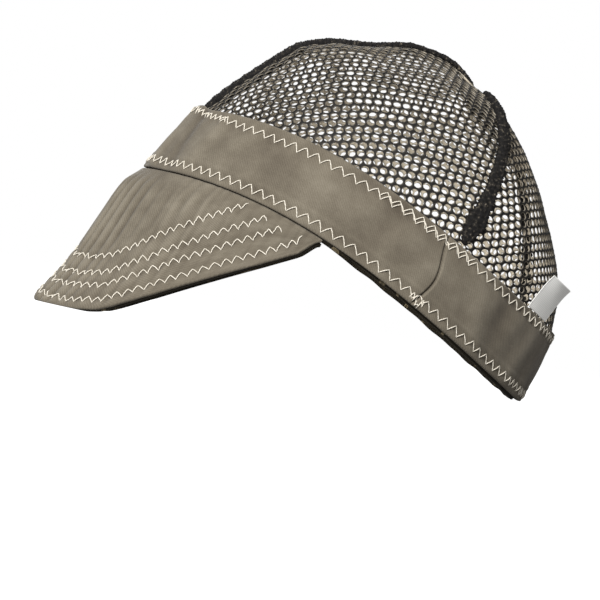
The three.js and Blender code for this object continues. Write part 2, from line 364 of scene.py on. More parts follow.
    def crown(self, angle: Array, rise: Array) -> Array:
        """The crown: each point goes in and up from the band's top to the apex by its profiles.

        Args:
            angle: radians round the rim, from the front.
            rise: shares of the way up.

        Returns:
            Points of the cap's own frame.
        """
        angle, rise = np.broadcast_arrays(angle, rise)
        curve = {name: spline(rise) for name, spline in self.profiles.items()}
        inwards = self.around(angle, curve["front_in"], curve["side_in"], curve["rear_in"])
        upwards = self.around(angle, curve["front_up"], curve["side_up"], curve["rear_up"])
        top = np.full_like(angle, self.band_height)
        base = inset(self.band, angle, top, self.band_cloth + self.clearance)
        sag = self.panel_sag * self.between_seams(angle, rise) * np.sin(np.pi * rise)
        share = np.stack([inwards, inwards, upwards], -1)
        hollow = (sag + self.dent(angle, rise))[..., None]
        return mix(base, self.apex, share) - self.outward(angle) * hollow

    def panel(self, left: Seam, right: Seam, p: Array, q: Array) -> Array:
        """A crown panel with p across it and q up it, first the tuck behind the band.

        Args:
            left: the seam at p = 0.
            right: the seam at p = 1, a turn further on where it is the front one.
            p: share of the way from one seam to the other.
            q: share of the way up, below tuck_share inside the band.

        Returns:
            Points of the cap's own frame.
        """
        rise = np.clip((q - self.tuck_share) / (1 - self.tuck_share), 0, 1) * self.panel_tip
        turned = TURN if right is self.seams[0] else 0
        start, end = left.angle(rise), right.angle(rise) + turned
        edge = self.crown(start, rise)
        radius = np.hypot(edge[..., 0] - self.apex[0], edge[..., 1] - self.apex[1])
        margin = self.clearance / radius
        angle = mix(start + margin, end - margin, p)
        height = self.band_height - self.crown_tuck * np.clip(1 - q / self.tuck_share, 0, 1)
        tucked = inset(self.band, angle, height, self.band_cloth + self.clearance)
        return np.where((q >= self.tuck_share)[..., None], self.crown(angle, rise), tucked)

    def peak_drop_at(self, angle: Array) -> Array:
        """The peak's length: its outline's, less at its corners, which are drawn in to the band.

        Args:
            angle: radians round the rim, from the front.

        Returns:
            The length in millimetres.
        """
        share = np.abs(angle) / np.radians(self.peak_half_angle)
        corner = 1 - self.corner_drawn * smoothstep(share, self.corner_from, 1.0)
        return self.peak_drop * self.peak_length(share) * corner

    def peak(self, angle: Array, down: Array, extra: float) -> Array:
        """The peak: the rim carried down by its drop and out by its section's curve.

        Args:
            angle: radians round the rim, from the front.
            down: shares of the way down from the band.
            extra: millimetres added to its length.

        Returns:
            Points of the cap's own frame.
        """
        drop = self.peak_drop_at(angle)
        out = self.peak_flare * self.peak_out(down) * (drop / self.peak_drop) - self.peak_inset
        fall = -self.clearance - (drop + extra) * down
        return self.rim(angle) + self.outward(angle) * out[..., None] + upright(fall)

    def label(self, across: Array, up: Array) -> Array:
        """The label: the band's top edge carried up along a direction that leans out more and more.

        Args:
            across: shares of its width.
            up: shares of its length.

        Returns:
            Points of the cap's own frame.
        """
        middle = np.radians(self.label_angle)
        radius = np.hypot(self.rim_length / 2 * np.sin(middle), self.rim_width / 2 * np.cos(middle))
        angle = middle + (across - 0.5) * self.label_width / radius
        lean = np.radians(self.label_lean + self.label_curl * up / 2)
        root = self.band(angle, np.full_like(angle, self.band_height))
        out = self.label_length * up * np.sin(lean)
        rise = self.clearance + self.label_length * up * np.cos(lean)
        return root + self.outward(np.full_like(angle, middle)) * out[..., None] + upright(rise)

    def seam_strip(self, seam: Seam, p: Array, q: Array, depth: Array) -> Array:
        """A strip of the crown along a seam, as wide as the seam at every height.

        Args:
            seam: the seam that it follows.
            p: shares of its width.
            q: shares of its length, up from the band.
            depth: millimetres into the strip from its outer face.

        Returns:
            Points of the cap's own frame.
        """
        rise = mix(seam.start, min(seam.end, self.panel_tip), q)
        middle = seam.angle(rise)
        spine = self.crown(middle, rise)
        radius = np.hypot(spine[..., 0] - self.apex[0], spine[..., 1] - self.apex[1])
        angle = middle + np.arctan2((p - 0.5) * seam.width, radius)
        return inset(self.crown, angle, rise, depth - self.seam_cloth - self.seam_clearance)


def normal(surface: Surface, p: Array, q: Array) -> Array:
    """A surface's outward normal: the cross product of small steps along its two parameters.

    Args:
        surface: gives points at p and q.
        p: its first parameter.
        q: its second parameter.

    Returns:
        Vectors of length 1.
    """
    step = 1e-3
    along_p = surface(p + step, q) - surface(p - step, q)
    along_q = surface(p, q + step) - surface(p, q - step)
    return unit(np.cross(along_p, along_q))


def inset(surface: Surface, p: Array, q: Array, depth: Array) -> Array:
    """A surface's points, moved inwards along its normal by depth."""
    depth = np.broadcast_to(depth, np.shape(p))
    return surface(p, q) - normal(surface, p, q) * depth[..., None]


def run_along(path: Array) -> Array:
    """The length of a path from its start to each of its points."""
    return np.concatenate([[0], np.cumsum(np.linalg.norm(np.diff(path, axis=0), axis=1))])


@dataclass
class Net:
    """A mesh under construction: points in metres, quads, and a UV pair in millimetres a corner.

    Its per-point value, the wear and painted light, says how much paler or darker each point's cloth is
    painted than the material's plain shade: rubbed wear and painted shade on the twill, and painted
    light on the net's inner side.
    """

    points: Array
    quads: Array
    uv: Array | None = None
    tone: Array | None = None


def grid_quads(
    rows: int, columns: int, closes_rows: bool, closes_columns: bool
) -> tuple[Array, Array]:
    """Quads of a grid whose points are numbered row by row.

    Args:
        rows: rows of points.
        columns: points in a row.
        closes_rows: whether the last row joins the first.
        closes_columns: whether each row is a ring.

    Returns:
        The quads' points, and each corner's row and column before they wrap round.
    """
    r, c = np.meshgrid(
        np.arange(rows - (not closes_rows)), np.arange(columns - (not closes_columns)), indexing="ij"
    )
    corner_rows = np.stack([r, r, r + 1, r + 1], -1).reshape(-1, 4)
    corner_columns = np.stack([c, c + 1, c + 1, c], -1).reshape(-1, 4)
    quads = corner_rows % rows * columns + corner_columns % columns
    return quads, np.stack([corner_rows, corner_columns], -1)


def joined(nets: list[Net]) -> Net:
    """Joins several meshes, each numbered on from the one before it.

    Args:
        nets: meshes that all have a UV map, or none of them, and likewise a per-point wear and painted
            light value.

    Returns:
        One mesh.
    """
    starts = np.cumsum([0] + [len(net.points) for net in nets[:-1]])
    uv = None if nets[0].uv is None else np.concatenate([net.uv for net in nets])
    tone = None if nets[0].tone is None else np.concatenate([net.tone for net in nets])
    quads = np.concatenate([net.quads + start for net, start in zip(nets, starts)])
    return Net(np.concatenate([net.points for net in nets]), quads, uv, tone)


def volume(points: Array, quads: Array) -> float:
    """Signed volume that quads enclose, positive where their faces point outwards."""
    a, b, c, d = (points[quads[:, corner]] for corner in range(4))
    return float((a * (np.cross(b, c) + np.cross(c, d))).sum() / 6)


def make_piece(name: str, net: Net, material: bpy.types.Material) -> bpy.types.Object:
    """Puts a mesh into the scene as one piece of the cap.

    Args:
        name: the piece's name.
        net: its points and quads. Quads that face inwards are turned round.
        material: what it is dressed in.

    Returns:
        The new object.
    """
    quads, uv = net.quads, net.uv
    if volume(net.points, quads) < 0:
        quads = quads[:, ::-1]
        uv = None if uv is None else uv[:, ::-1]
    mesh = bpy.data.meshes.new(name)
    mesh.vertices.add(len(net.points))
    mesh.vertices.foreach_set("co", net.points.astype(np.float32).ravel())
    mesh.loops.add(quads.size)
    mesh.loops.foreach_set("vertex_index", quads.astype(np.int32).ravel())
    mesh.polygons.add(len(quads))
    mesh.polygons.foreach_set("loop_start", np.arange(0, quads.size, 4, dtype=np.int32))
    if uv is not None:
        layer = mesh.uv_layers.new(name="cloth")
        layer.data.foreach_set("uv", uv.astype(np.float32).ravel())
    # the per-point wear and painted light goes to the shaders as a point attribute
    if net.tone is not None:
        layer = mesh.attributes.new("tone", "FLOAT", "POINT")
        layer.data.foreach_set("value", net.tone.astype(np.float32))
    mesh.update(calc_edges=True)
    mesh.shade_smooth()
    mesh.materials.append(material)
    piece = bpy.data.objects.new(name, mesh)
    bpy.context.scene.collection.objects.link(piece)
    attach(piece, BODY)
    log.info("%s: %d points, %d triangles", name, len(net.points), 2 * len(quads))
    return piece


@dataclass(frozen=True)
class Section:
    """A closed section through a sheet of cloth with rounded edges.

    The path goes along the outer face, round the far edge, back along the inner face and round
    the near edge. share runs from 0 to 1 between the edges, beyond is a length in millimetres
    added to that, and depth is how far a point is inside the outer face.
    """

    thickness: float
    rows: int
    turns: int = 4

    def path(self) -> tuple[Array, Array, Array]:
        """Works out the path: straight faces, and half circles round the edges.

        Returns:
            The section's share, beyond and depth.
        """
        radius = self.thickness / 2
        outer = np.linspace(0, 1, self.rows)
        turn = np.pi * np.arange(1, self.turns + 1) / (self.turns + 1)
        round_beyond, round_depth = radius * np.sin(turn) - radius, radius * (1 - np.cos(turn))
        ones = np.ones(self.turns)
        share = np.concatenate([outer, ones, outer[::-1], 0 * ones])
        straight = radius * (1 - 2 * outer)
        beyond = np.concatenate([straight, round_beyond, straight[::-1], -round_beyond])
        depth = np.concatenate([0 * outer, round_depth, 0 * outer + self.thickness, round_depth[::-1]])
        return share, beyond, depth

    def end_cap(self) -> Array:
        """Pairs up the section's points from one rounded edge to the other, to close an open end.

        Returns:
            Two rows of point numbers that face each other.
        """
        size = 2 * (self.rows + self.turns)
        middle = self.rows + self.turns // 2
        first = np.arange(middle - 1, middle - 1 - size // 2, -1) % size
        second = np.arange(middle, middle + size // 2) % size
        return np.stack([first, second])


def sheet_net(
    form: CapForm,
    place: Callable[[Array, Array, Array, Array], Array],
    columns: Array,
    section: Section,
    closes: bool,
    lengths: tuple[float, float],
    wear_and_shade: Callable[[Array, Array], Array] | None = None,
) -> Net:
    """A sheet of cloth with a thickness and rounded edges, on a grid of columns and section points.

    Args:
        form: the cap's surfaces, which tip the cloth onto the floor.
        place: takes column, share, beyond and depth, and returns points of the cap's own frame.
        columns: the column parameter of each column.
        section: the section through the cloth.
        closes: whether the columns make a ring.
        lengths: the sheet's real size along the columns and across them, for its UV map.
        wear_and_shade: takes column and share, and returns how much paler the outer face is painted
            there, as rubbed wear, and darker where it is negative, as painted shade.

    Returns:
        The closed mesh.
    """
    share, beyond, depth = section.path()
    c, s = np.meshgrid(columns, share)
    beyond, depth = (np.broadcast_to(values[:, None], c.shape) for values in (beyond, depth))
    points = form.placed(place(c, s, beyond, depth))
    rows, width = c.shape
    quads, corners = grid_quads(rows, width, True, closes)
    stations = np.append(columns, columns[0] + TURN) if closes else columns
    stations = (stations - stations[0]) / (stations[-1] - stations[0])
    along = stations[corners[..., 1]] * lengths[0]
    across = np.append(share, share[0])[corners[..., 0]] * lengths[1]
    uv = np.stack([along, across], -1)
    if not closes:
        first, second = section.end_cap() * width
        ladder = np.stack([first[:-1], first[1:], second[1:], second[:-1]], -1)
        ends = np.concatenate([ladder, ladder[:, ::-1] + width - 1])
        quads = np.concatenate([quads, ends])
        uv = np.concatenate([uv, np.zeros((len(ends), 4, 2))])
    # rubbed wear and painted shade, on the outer face only
    tone = np.zeros(c.shape) if wear_and_shade is None else wear_and_shade(c, s) * (depth == 0)
    return Net(points.reshape(-1, 3), quads, uv, tone.ravel())


def to_linear(code: str) -> tuple[float, float, float, float]:
    """A hex sRGB colour as linear red, green, blue and alpha, by the sRGB standard's curve.

    Args:
        code: the colour, such as "#ffffff".

    Returns:
        Its four channels.
    """
    values = np.array([int(code[at : at + 2], 16) for at in (1, 3, 5)]) / 255
    linear = np.where(values <= 0.04045, values / 12.92, ((values + 0.055) / 1.055) ** 2.4)
    return (*linear.tolist(), 1.0)


class Shader:
    """A material's node tree while it is made."""

    def __init__(self, name: str) -> None:
        """Starts an empty material."""
        self.material = bpy.data.materials.new(name)
        self.material.use_nodes = True
        self.tree = self.material.node_tree
        self.tree.nodes.clear()

    def add(
        self, kind: str, inputs: dict | None = None, stops: list | None = None, **settings
    ) -> bpy.types.Node:
        """Adds a node.

        Args:
            kind: the node's type name without its leading ShaderNode.
            inputs: what goes into its sockets, by name or number: another node's socket or a value.
            stops: the places and hex colours of a colour ramp.
            settings: the node's own properties.

        Returns:
            The node.
        """
        node = self.tree.nodes.new("ShaderNode" + kind)
        for name, value in settings.items():
            setattr(node, name, value)
        for name, value in (inputs or {}).items():
            if isinstance(value, bpy.types.NodeSocket):
                self.tree.links.new(value, node.inputs[name])
            else:
                node.inputs[name].default_value = value
        if stops:
            elements = node.color_ramp.elements
            while len(elements) < len(stops):
                elements.new(1.0)
            for element, (place, code) in zip(elements, stops):
                element.position = place
                element.color = to_linear(code)
        return node

    def finish(self, surface: bpy.types.Node) -> bpy.types.Material:
        """Wires the last shader to the output.

        Args:
            surface: the shader that the surface shows.

        Returns:
            The finished material.
        """
        self.add("OutputMaterial", {"Surface": surface.outputs[0]})
        return self.material


# Wave textures repeat every 0.314 units at scale 1, and every 0.628 units along either side
# where their bands lie at 45 degrees
WAVE_PERIOD = TURN / 20
DIAGONAL_PERIOD = TURN / 10


@dataclass(frozen=True)
class CottonTwill:
    """Washed cotton twill: matt, a little fuzzy, with faint diagonal ribs and a mottled dye."""

    name: str = "washed_cotton_twill"
    shades: tuple[str, str, str] = ("#4b443a", "#5f584c", "#736c5f")
    stops: tuple[float, float, float] = (0.1, 0.5, 0.9)
    wear_and_shade_weight: float = 0.4  # how far folds that stand out are painted paler, as rubbed wear, and sunk ones darker, as painted shade
    rib: float = 1.0  # mm between ribs; the real ones are 0.6 mm, too fine for the render
    rib_shade: float = 0.07  # how far a rib is lighter and a groove darker than the cloth
    grain: float = 0.55  # mm, the coarse yarns
    grain_shade: float = 0.2  # how far a yarn is lighter or darker
    mottle: float = 14  # mm, uneven dye
    roughness: float = 0.93
    relief: float = 0.25  # mm from the grooves to the ribs

    def build(self) -> bpy.types.Material:
        """Makes the material: uneven dye, yarns, ribs, and rubbed wear with painted shade in sunk folds
        add up to a place between shades.

        Returns:
            The material.
        """
        shader = Shader(self.name)
        cloth = shader.add("UVMap", uv_map="cloth").outputs["UV"]
        ribs = shader.add("TexWave", {
            "Vector": cloth, "Scale": DIAGONAL_PERIOD / (self.rib * 2**0.5), "Distortion": 1.6,
            "Detail": 2.0, "Detail Scale": 1.2,
        }, bands_direction="DIAGONAL")
        grain = shader.add("TexNoise", {
            "Vector": cloth, "Scale": 1 / self.grain, "Detail": 2.0, "Roughness": 0.7,
        })
        mottle = shader.add("TexNoise", {
            "Vector": cloth, "Scale": 1 / self.mottle, "Detail": 5.0, "Roughness": 0.62,
        })
        yarns = shader.add("MapRange", {
            "Value": grain.outputs[0], "From Min": 0.2, "From Max": 0.8,
            "To Min": -self.grain_shade, "To Max": self.grain_shade,
        })
        weave = shader.add("MapRange", {
            "Value": ribs.outputs["Fac"], "To Min": -self.rib_shade, "To Max": self.rib_shade,
        })
        dyed = shader.add("Math", {0: mottle.outputs[0], 1: yarns.outputs[0]}, operation="ADD")
        woven = shader.add("Math", {0: dyed.outputs[0], 1: weave.outputs[0]}, operation="ADD")
        # paler where a fold stands out, as rubbed wear, and darker where it is sunk, as painted shade
        wear_and_fold_shade = shader.add("Attribute", attribute_name="tone")
        shade = shader.add("Math", {
            0: wear_and_fold_shade.outputs["Fac"], 1: self.wear_and_shade_weight, 2: woven.outputs[0],
        }, operation="MULTIPLY_ADD")
        colour = shader.add(
            "ValToRGB", {"Fac": shade.outputs[0]}, list(zip(self.stops, self.shades))
        )
        height = shader.add("Math", {0: ribs.outputs["Fac"], 1: grain.outputs[0]}, operation="ADD")
        bump = shader.add("Bump", {
            "Height": height.outputs[0], "Strength": 0.35, "Distance": self.relief * MM,
        })
        return shader.finish(shader.add("BsdfPrincipled", {
            "Base Color": colour.outputs[0], "Roughness": self.roughness,
            "Normal": bump.outputs[0], "Sheen Weight": 0.1, "Sheen Roughness": 0.5,
            "Specular IOR Level": 0.2, "IOR": 1.47,
        }))


@dataclass(frozen=True)
class PrintedCotton:
    """Printed cotton lining: dark olive brown with loose pale blotches, matt."""

    name: str = "printed_cotton"
    ground: str = "#2c271d"
    dark: str = "#1d1a13"
    pale: str = "#7d7159"
    blotch: float = 12  # mm across a blotch
    weave: float = 0.5  # mm between yarns
    roughness: float = 0.95
    relief: float = 0.2  # mm

    def build(self) -> bpy.types.Material:
        """Makes the material: the print is one noise cut into a dark, a middle and a pale shade.

        Returns:
            The material.
        """
        shader = Shader(self.name)
        cloth = shader.add("UVMap", uv_map="cloth").outputs["UV"]
        blotch = shader.add("TexNoise", {
            "Vector": cloth, "Scale": 1 / self.blotch, "Detail": 3.0, "Roughness": 0.6,
            "Distortion": 1.6,
        })
        colour = shader.add("ValToRGB", {"Fac": blotch.outputs[0]}, [
            (0.38, self.dark), (0.46, self.ground), (0.62, self.ground), (0.64, self.pale),
        ])
        weave = shader.add("TexNoise", {"Vector": cloth, "Scale": 1 / self.weave, "Detail": 2.0})
        bump = shader.add("Bump", {
            "Height": weave.outputs[0], "Strength": 0.3, "Distance": self.relief * MM,
        })
        return shader.finish(shader.add("BsdfPrincipled", {
            "Base Color": colour.outputs[0], "Roughness": self.roughness,
            "Normal": bump.outputs[0], "Sheen Weight": 0.1, "Specular IOR Level": 0.2,
            "IOR": 1.47,
        }))


@dataclass(frozen=True)
class KnittedNet:
    """Warp-knitted polyester net: black-brown yarn with a dull gloss along its loops.

    Its inner side is painted pale, as painted light: seen through the holes, it stands in for the lit
    far side of the net and the white room behind it.
    """

    name: str = "knitted_polyester_net"
    shades: tuple[str, ...] = ("#080706", "#100e0c", "#211d19")
    stops: tuple[float, ...] = (0.3, 0.5, 0.72)
    back: str = "#e6dac4"  # painted pale inner side: painted light, not the yarn's own colour
    patch: float = 3.0  # mm across a lighter or darker patch
    loop: float = 0.9  # mm between the yarn's loops
    roughness: float = 0.7
    gloss: float = 0.2
    relief: float = 0.3  # mm from between the loops to their crowns

    def build(self) -> bpy.types.Material:
        """Makes the material: patches of shade, mixed with the inner side's painted pale colour by each
        point's painted light value.

        Returns:
            The material.
        """
        shader = Shader(self.name)
        place = shader.add("TexCoord").outputs["Object"]
        loops = shader.add("TexVoronoi", {"Vector": place, "Scale": 1 / (self.loop * MM)})
        shade = shader.add("TexNoise", {
            "Vector": place, "Scale": 1 / (self.patch * MM), "Detail": 3.0,
        })
        face = shader.add(
            "ValToRGB", {"Fac": shade.outputs[0]}, list(zip(self.stops, self.shades))
        )
        # the attribute is 1 on the inner side and part way at the holes' rims: painted light
        side = shader.add("Attribute", attribute_name="tone")
        colour = shader.add("Mix", {
            0: side.outputs["Fac"], 6: face.outputs[0], 7: to_linear(self.back),
        }, data_type="RGBA")
        bump = shader.add("Bump", {
            "Height": loops.outputs["Distance"], "Strength": 0.5, "Distance": self.relief * MM,
        })
        return shader.finish(shader.add("BsdfPrincipled", {
            "Base Color": colour.outputs[2], "Roughness": self.roughness,
            "Normal": bump.outputs[0], "Specular IOR Level": self.gloss, "IOR": 1.57,
        }))


@dataclass(frozen=True)
class SewingThread:
    """Mercerised cotton thread: off-white, with the fine turns of its twist."""

    name: str = "mercerised_cotton_thread"
    shades: tuple[str, str] = ("#b3ab9b", "#d0c9bb")
    twist: float = 0.8  # mm between turns
    roughness: float = 0.6
    relief: float = 0.1  # mm from between the turns to their crowns

    def build(self) -> bpy.types.Material:
        """Makes the material: a diagonal wave sets the shade and the height of each turn.

        Returns:
            The material.
        """
        shader = Shader(self.name)
        place = shader.add("TexCoord").outputs["Object"]
        turns = shader.add("TexWave", {
            "Vector": place, "Scale": WAVE_PERIOD / (self.twist * MM), "Distortion": 2.0,
        }, bands_direction="DIAGONAL").outputs["Fac"]
        colour = shader.add("ValToRGB", {"Fac": turns}, list(zip((0.1, 0.6), self.shades)))
        bump = shader.add("Bump", {
            "Height": turns, "Strength": 0.3, "Distance": self.relief * MM,
        })
        return shader.finish(shader.add("BsdfPrincipled", {
            "Base Color": colour.outputs[0], "Roughness": self.roughness,
            "Normal": bump.outputs[0], "Sheen Weight": 0.15, "IOR": 1.5,
        }))


@dataclass(frozen=True)
class SatinTape:
    """Woven satin label tape: white, smooth, with fine cross ribs and a soft gloss."""

    name: str = "white_satin_tape"
    shades: tuple[str, str] = ("#d6d5d1", "#e3e2de")
    rib: float = 0.8  # mm; the real ribs are half that, too fine for the render
    roughness: float = 0.5
    relief: float = 0.1  # mm from the grooves to the ribs

    def build(self) -> bpy.types.Material:
        """Makes the material: a wave across the tape sets the shade and the height of each rib.

        Returns:
            The material.
        """
        shader = Shader(self.name)
        cloth = shader.add("UVMap", uv_map="cloth").outputs["UV"]
        ribs = shader.add("TexWave", {
            "Vector": cloth, "Scale": WAVE_PERIOD / self.rib, "Distortion": 0.6,
        }, bands_direction="Y").outputs["Fac"]
        colour = shader.add("ValToRGB", {"Fac": ribs}, list(zip((0.0, 0.7), self.shades)))
        bump = shader.add("Bump", {
            "Height": ribs, "Strength": 0.25, "Distance": self.relief * MM,
        })
        return shader.finish(shader.add("BsdfPrincipled", {
            "Base Color": colour.outputs[0], "Roughness": self.roughness,
            "Normal": bump.outputs[0], "Sheen Weight": 0.1, "IOR": 1.5, "Anisotropic": 0.3,
        }))


@dataclass(frozen=True)
class PaleFloor:
    """A light table's matt white sheet: it looks white, and lights the cap less than that."""

    name: str = "white_light_table"
    colour: str = "#7a7a7a"
    light: str = "#ffffff"
    glow: float = 0.12  # how brightly it lights the cap; to the eye it is 1
    roughness: float = 0.9

    def build(self) -> bpy.types.Material:
        """Makes the material.

        Returns:
            The material.
        """
        shader = Shader(self.name)
        seen = shader.add("LightPath").outputs["Is Camera Ray"]
        glow = shader.add("MapRange", {"Value": seen, "To Min": self.glow, "To Max": 1.0})
        return shader.finish(shader.add("BsdfPrincipled", {
            "Base Color": to_linear(self.colour), "Roughness": self.roughness,
            "Specular IOR Level": 0.0, "Emission Color": to_linear(self.light),
            "Emission Strength": glow.outputs[0],
        }))


@dataclass
class Band:
    """The band: a ring of twill with two rows of zigzag, a joined end and a printed lining."""

    form: CapForm
    twill: bpy.types.Material
    print_cloth: bpy.types.Material
    columns: int = 700
    rows: int = 46
    lining_rows: int = 24
    girth: float = 582  # mm round the rim, the length that the band is cut to
    hem_row: float = 4.2  # mm from the lower edge to the middle of the lower stitches
    top_rows: tuple = ((0, 3.6), (20, 3.4), (45, 5.6), (75, 5.4), (100, 4.0), (120, 3.2), (180, 3.0))
    row_reach: float = 2.6  # mm over which a row pulls the cloth in to either side
    row_depth: float = 0.55  # mm
    pucker: float = 0.22  # mm
    pucker_gap: float = 5.6  # mm from one pucker to the next
    hem_edge: tuple[float, float] = (9.5, 7.5)  # mm up the band where its turned hem ends
    hem_thickness: float = 0.35  # mm
    wrinkles: tuple = (  # degrees round the cap, mm out, degrees wide, degrees of lean a millimetre
        (12, 1.35, 3.2, 0.16), (23, -1.2, 3.0, 0.2), (34, 0.75, 4, -0.1), (58, -0.675, 5, 0.2),
        (74, 0.6, 4, 0.1), (92, -0.75, 5, -0.2), (128, 0.75, 4, 0.25), (137, -0.825, 4, 0.1),
        (152, 0.75, 4, -0.1), (171, -0.9, 5, 0), (196, 0.9, 6, 0.1), (224, -0.75, 5, -0.2),
        (251, 0.75, 5, 0.2), (283, -0.9, 6, 0.1), (309, 0.75, 4, -0.1), (336, -1.2, 4, 0.2),
        (350, 1.05, 3.4, -0.2),
    )
    waist: float = 18  # mm up the band, where a wrinkle is at its own angle
    crease: float = 0.22  # mm, the fine creases
    join: float = 110.7  # degrees round the rim to the joined ends
    join_waver: float = 1.3  # degrees
    join_width: float = 0.3  # degrees
    join_groove: float = 1.5  # mm
    join_step: float = 0.75  # mm that the upper end lies over the lower one
    join_reach: tuple[float, float, int] = (-3.5, 4.5, 60)  # degrees with close columns, and columns
    edge_relief: float = 0.25  # share of the relief that is left at the edges
    front_lift: tuple[float, float, float] = (2.2, 13, 6)  # mm, at degrees, over degrees
    wear_and_shade_gain: float = 0.55  # how much paler a fold that stands out a millimetre is painted, as rubbed wear, and darker a sunk one, as painted shade
    # most that rubbed wear paints paler and painted shade paints darker
    wear_and_shade_most: float = 0.8

    def top_row(self, angle: Array) -> Array:
        """Height of the upper stitches' middle, drifting from the top edge as the table says."""
        where, below = zip(*self.top_rows)
        return self.form.band_height - np.interp(np.abs(angle_from(angle, 0)), where, below)

    def join_relief(self, angle: Array, height: Array) -> Array:
        """The joined ends: a groove that wavers with height as a sine, and a step that fades out.

        Args:
            angle: radians round the rim, from the front.
            height: millimetres above the rim.

        Returns:
            How far the cloth stands out, in millimetres.
        """
        share = height / self.form.band_height
        aside = angle_from(angle, self.join) - self.join_waver * np.sin(TURN * (share - 0.15) * 0.9)
        fading = np.exp(-np.maximum(aside - self.join_width, 0) / 3) * smoothstep(aside, 0, 0.4)
        return self.join_step * fading - self.join_groove * bell(aside, 0, self.join_width)

    def relief(self, angle: Array, height: Array) -> Array:
        """How far the cloth stands out from its plain face, in millimetres.

        Stitched rows are bells pulled in, with puckers as sines between the stitches. Wrinkles
        are bells across the angle that lean with height. Fine creases come and go as a product
        of two sines, the joined ends and the hem's edge are steps, and all fade to the edges.

        Args:
            angle: radians round the rim, from the front.
            height: millimetres above the rim.

        Returns:
            How far the cloth stands out, in millimetres.
        """
        along = angle / TURN * self.girth
        out = np.zeros(np.broadcast(angle, height).shape)
        for row in (self.hem_row + 0 * angle, self.top_row(angle)):
            near = bell(height, row, self.row_reach)
            puckered = np.sin(TURN * along / self.pucker_gap + height * 0.9)
            out = out + near * (self.pucker * puckered - self.row_depth)
        for middle, depth, turn, lean in self.wrinkles:
            aside = angle_from(angle, middle) + lean * (height - self.waist)
            out = out + depth * bell(aside, 0, turn)
        creases = np.sin(along / 3.1 + 1.5 * np.sin(height / 7))
        out = out + self.crease * creases * np.sin(along / 23 + height / 19)
        out = out + self.join_relief(angle, height)
        out = out + self.hem_thickness * smoothstep(height, *self.hem_edge)
        top = self.form.band_height
        inner = smoothstep(height, 0.0, 3.0) * smoothstep(height, top, top - 1.5)
        return out * mix(self.edge_relief, 1, inner)

    def wear_and_shade(self, angle: Array, share: Array) -> Array:
        """How much paler the cloth is painted: paler where it stands out, as rubbed wear, and darker
        where it is sunk, as painted shade.
        """
        relief = self.relief(angle, share * self.form.band_height)
        return np.clip(self.wear_and_shade_gain * relief, -self.wear_and_shade_most, self.wear_and_shade_most)

    def face(self, angle: Array, height: Array) -> Array:
        """The band's outer face with its relief; its top edge rises over the front seam's end.

        Args:
            angle: radians round the rim, from the front.
            height: millimetres above the rim.

        Returns:
            Points of the cap's own frame.
        """
        lift, middle, turn = self.front_lift
        above_waist = smoothstep(height, self.waist, self.form.band_height)
        rise = lift * bell(angle_from(angle, middle), 0, turn) * above_waist
        return inset(self.form.band, angle, height, -self.relief(angle, height)) + upright(rise)

    def outside(self, angle: Array, share: Array, beyond: Array, depth: Array) -> Array:
        """The band's cloth, placed as sheet_net asks, its share running up from the rim."""
        height = share * self.form.band_height + beyond
        return self.face(angle, height) - normal(self.form.band, angle, height) * depth[..., None]

    def inside(self, angle: Array, share: Array, beyond: Array, depth: Array) -> Array:
        """The lining, lower than the band behind the peak's corners, and rippled by sines.

        Args:
            angle: radians round the rim, from the front.
            share: shares of the way up the lining.
            beyond: millimetres added to that.
            depth: millimetres inside its outer face.

        Returns:
            Points of the cap's own frame.
        """
        form = self.form
        corner = -np.cos(np.radians(form.peak_half_angle))
        uneven = 0.75 + 0.12 * np.sin(angle * 23) + 0.08 * np.sin(angle * 41)
        shows = form.lining_show * smoothstep(-np.cos(angle), corner, 0.1) * uneven
        height = mix(-shows, form.band_height - form.lining_top_inset, share) + beyond
        ripple = 0.3 * (np.sin(angle * 37) * np.sin(height * 0.3) + 1) / 2
        stack = form.band_cloth + form.clearance + form.net_cloth + form.lining_clearance
        return inset(form.band, angle, height, stack + depth + ripple)

    def build(self) -> None:
        """Makes the band and its lining."""
        form = self.form
        first, last, close = self.join_reach
        near_join = np.radians(self.join + np.linspace(first, last, close))
        evenly = np.arange(self.columns) / self.columns * TURN
        spare = 0.004  # radians kept free beside the close columns
        away = (evenly < near_join[0] - spare) | (evenly > near_join[-1] + spare)
        angles = np.sort(np.concatenate([evenly[away], near_join]))
        lengths = (self.girth, form.band_height)
        cloth = Section(form.band_cloth, self.rows)
        net = sheet_net(form, self.outside, angles, cloth, True, lengths, self.wear_and_shade)
        band = make_piece("band_cloth", net, self.twill)
        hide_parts("band")

        cloth = Section(form.lining_cloth, self.lining_rows)
        net = sheet_net(form, self.inside, angles[::2], cloth, True, lengths)
        lining = make_piece("band_lining_cloth", net, self.print_cloth)
        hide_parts("band_lining")


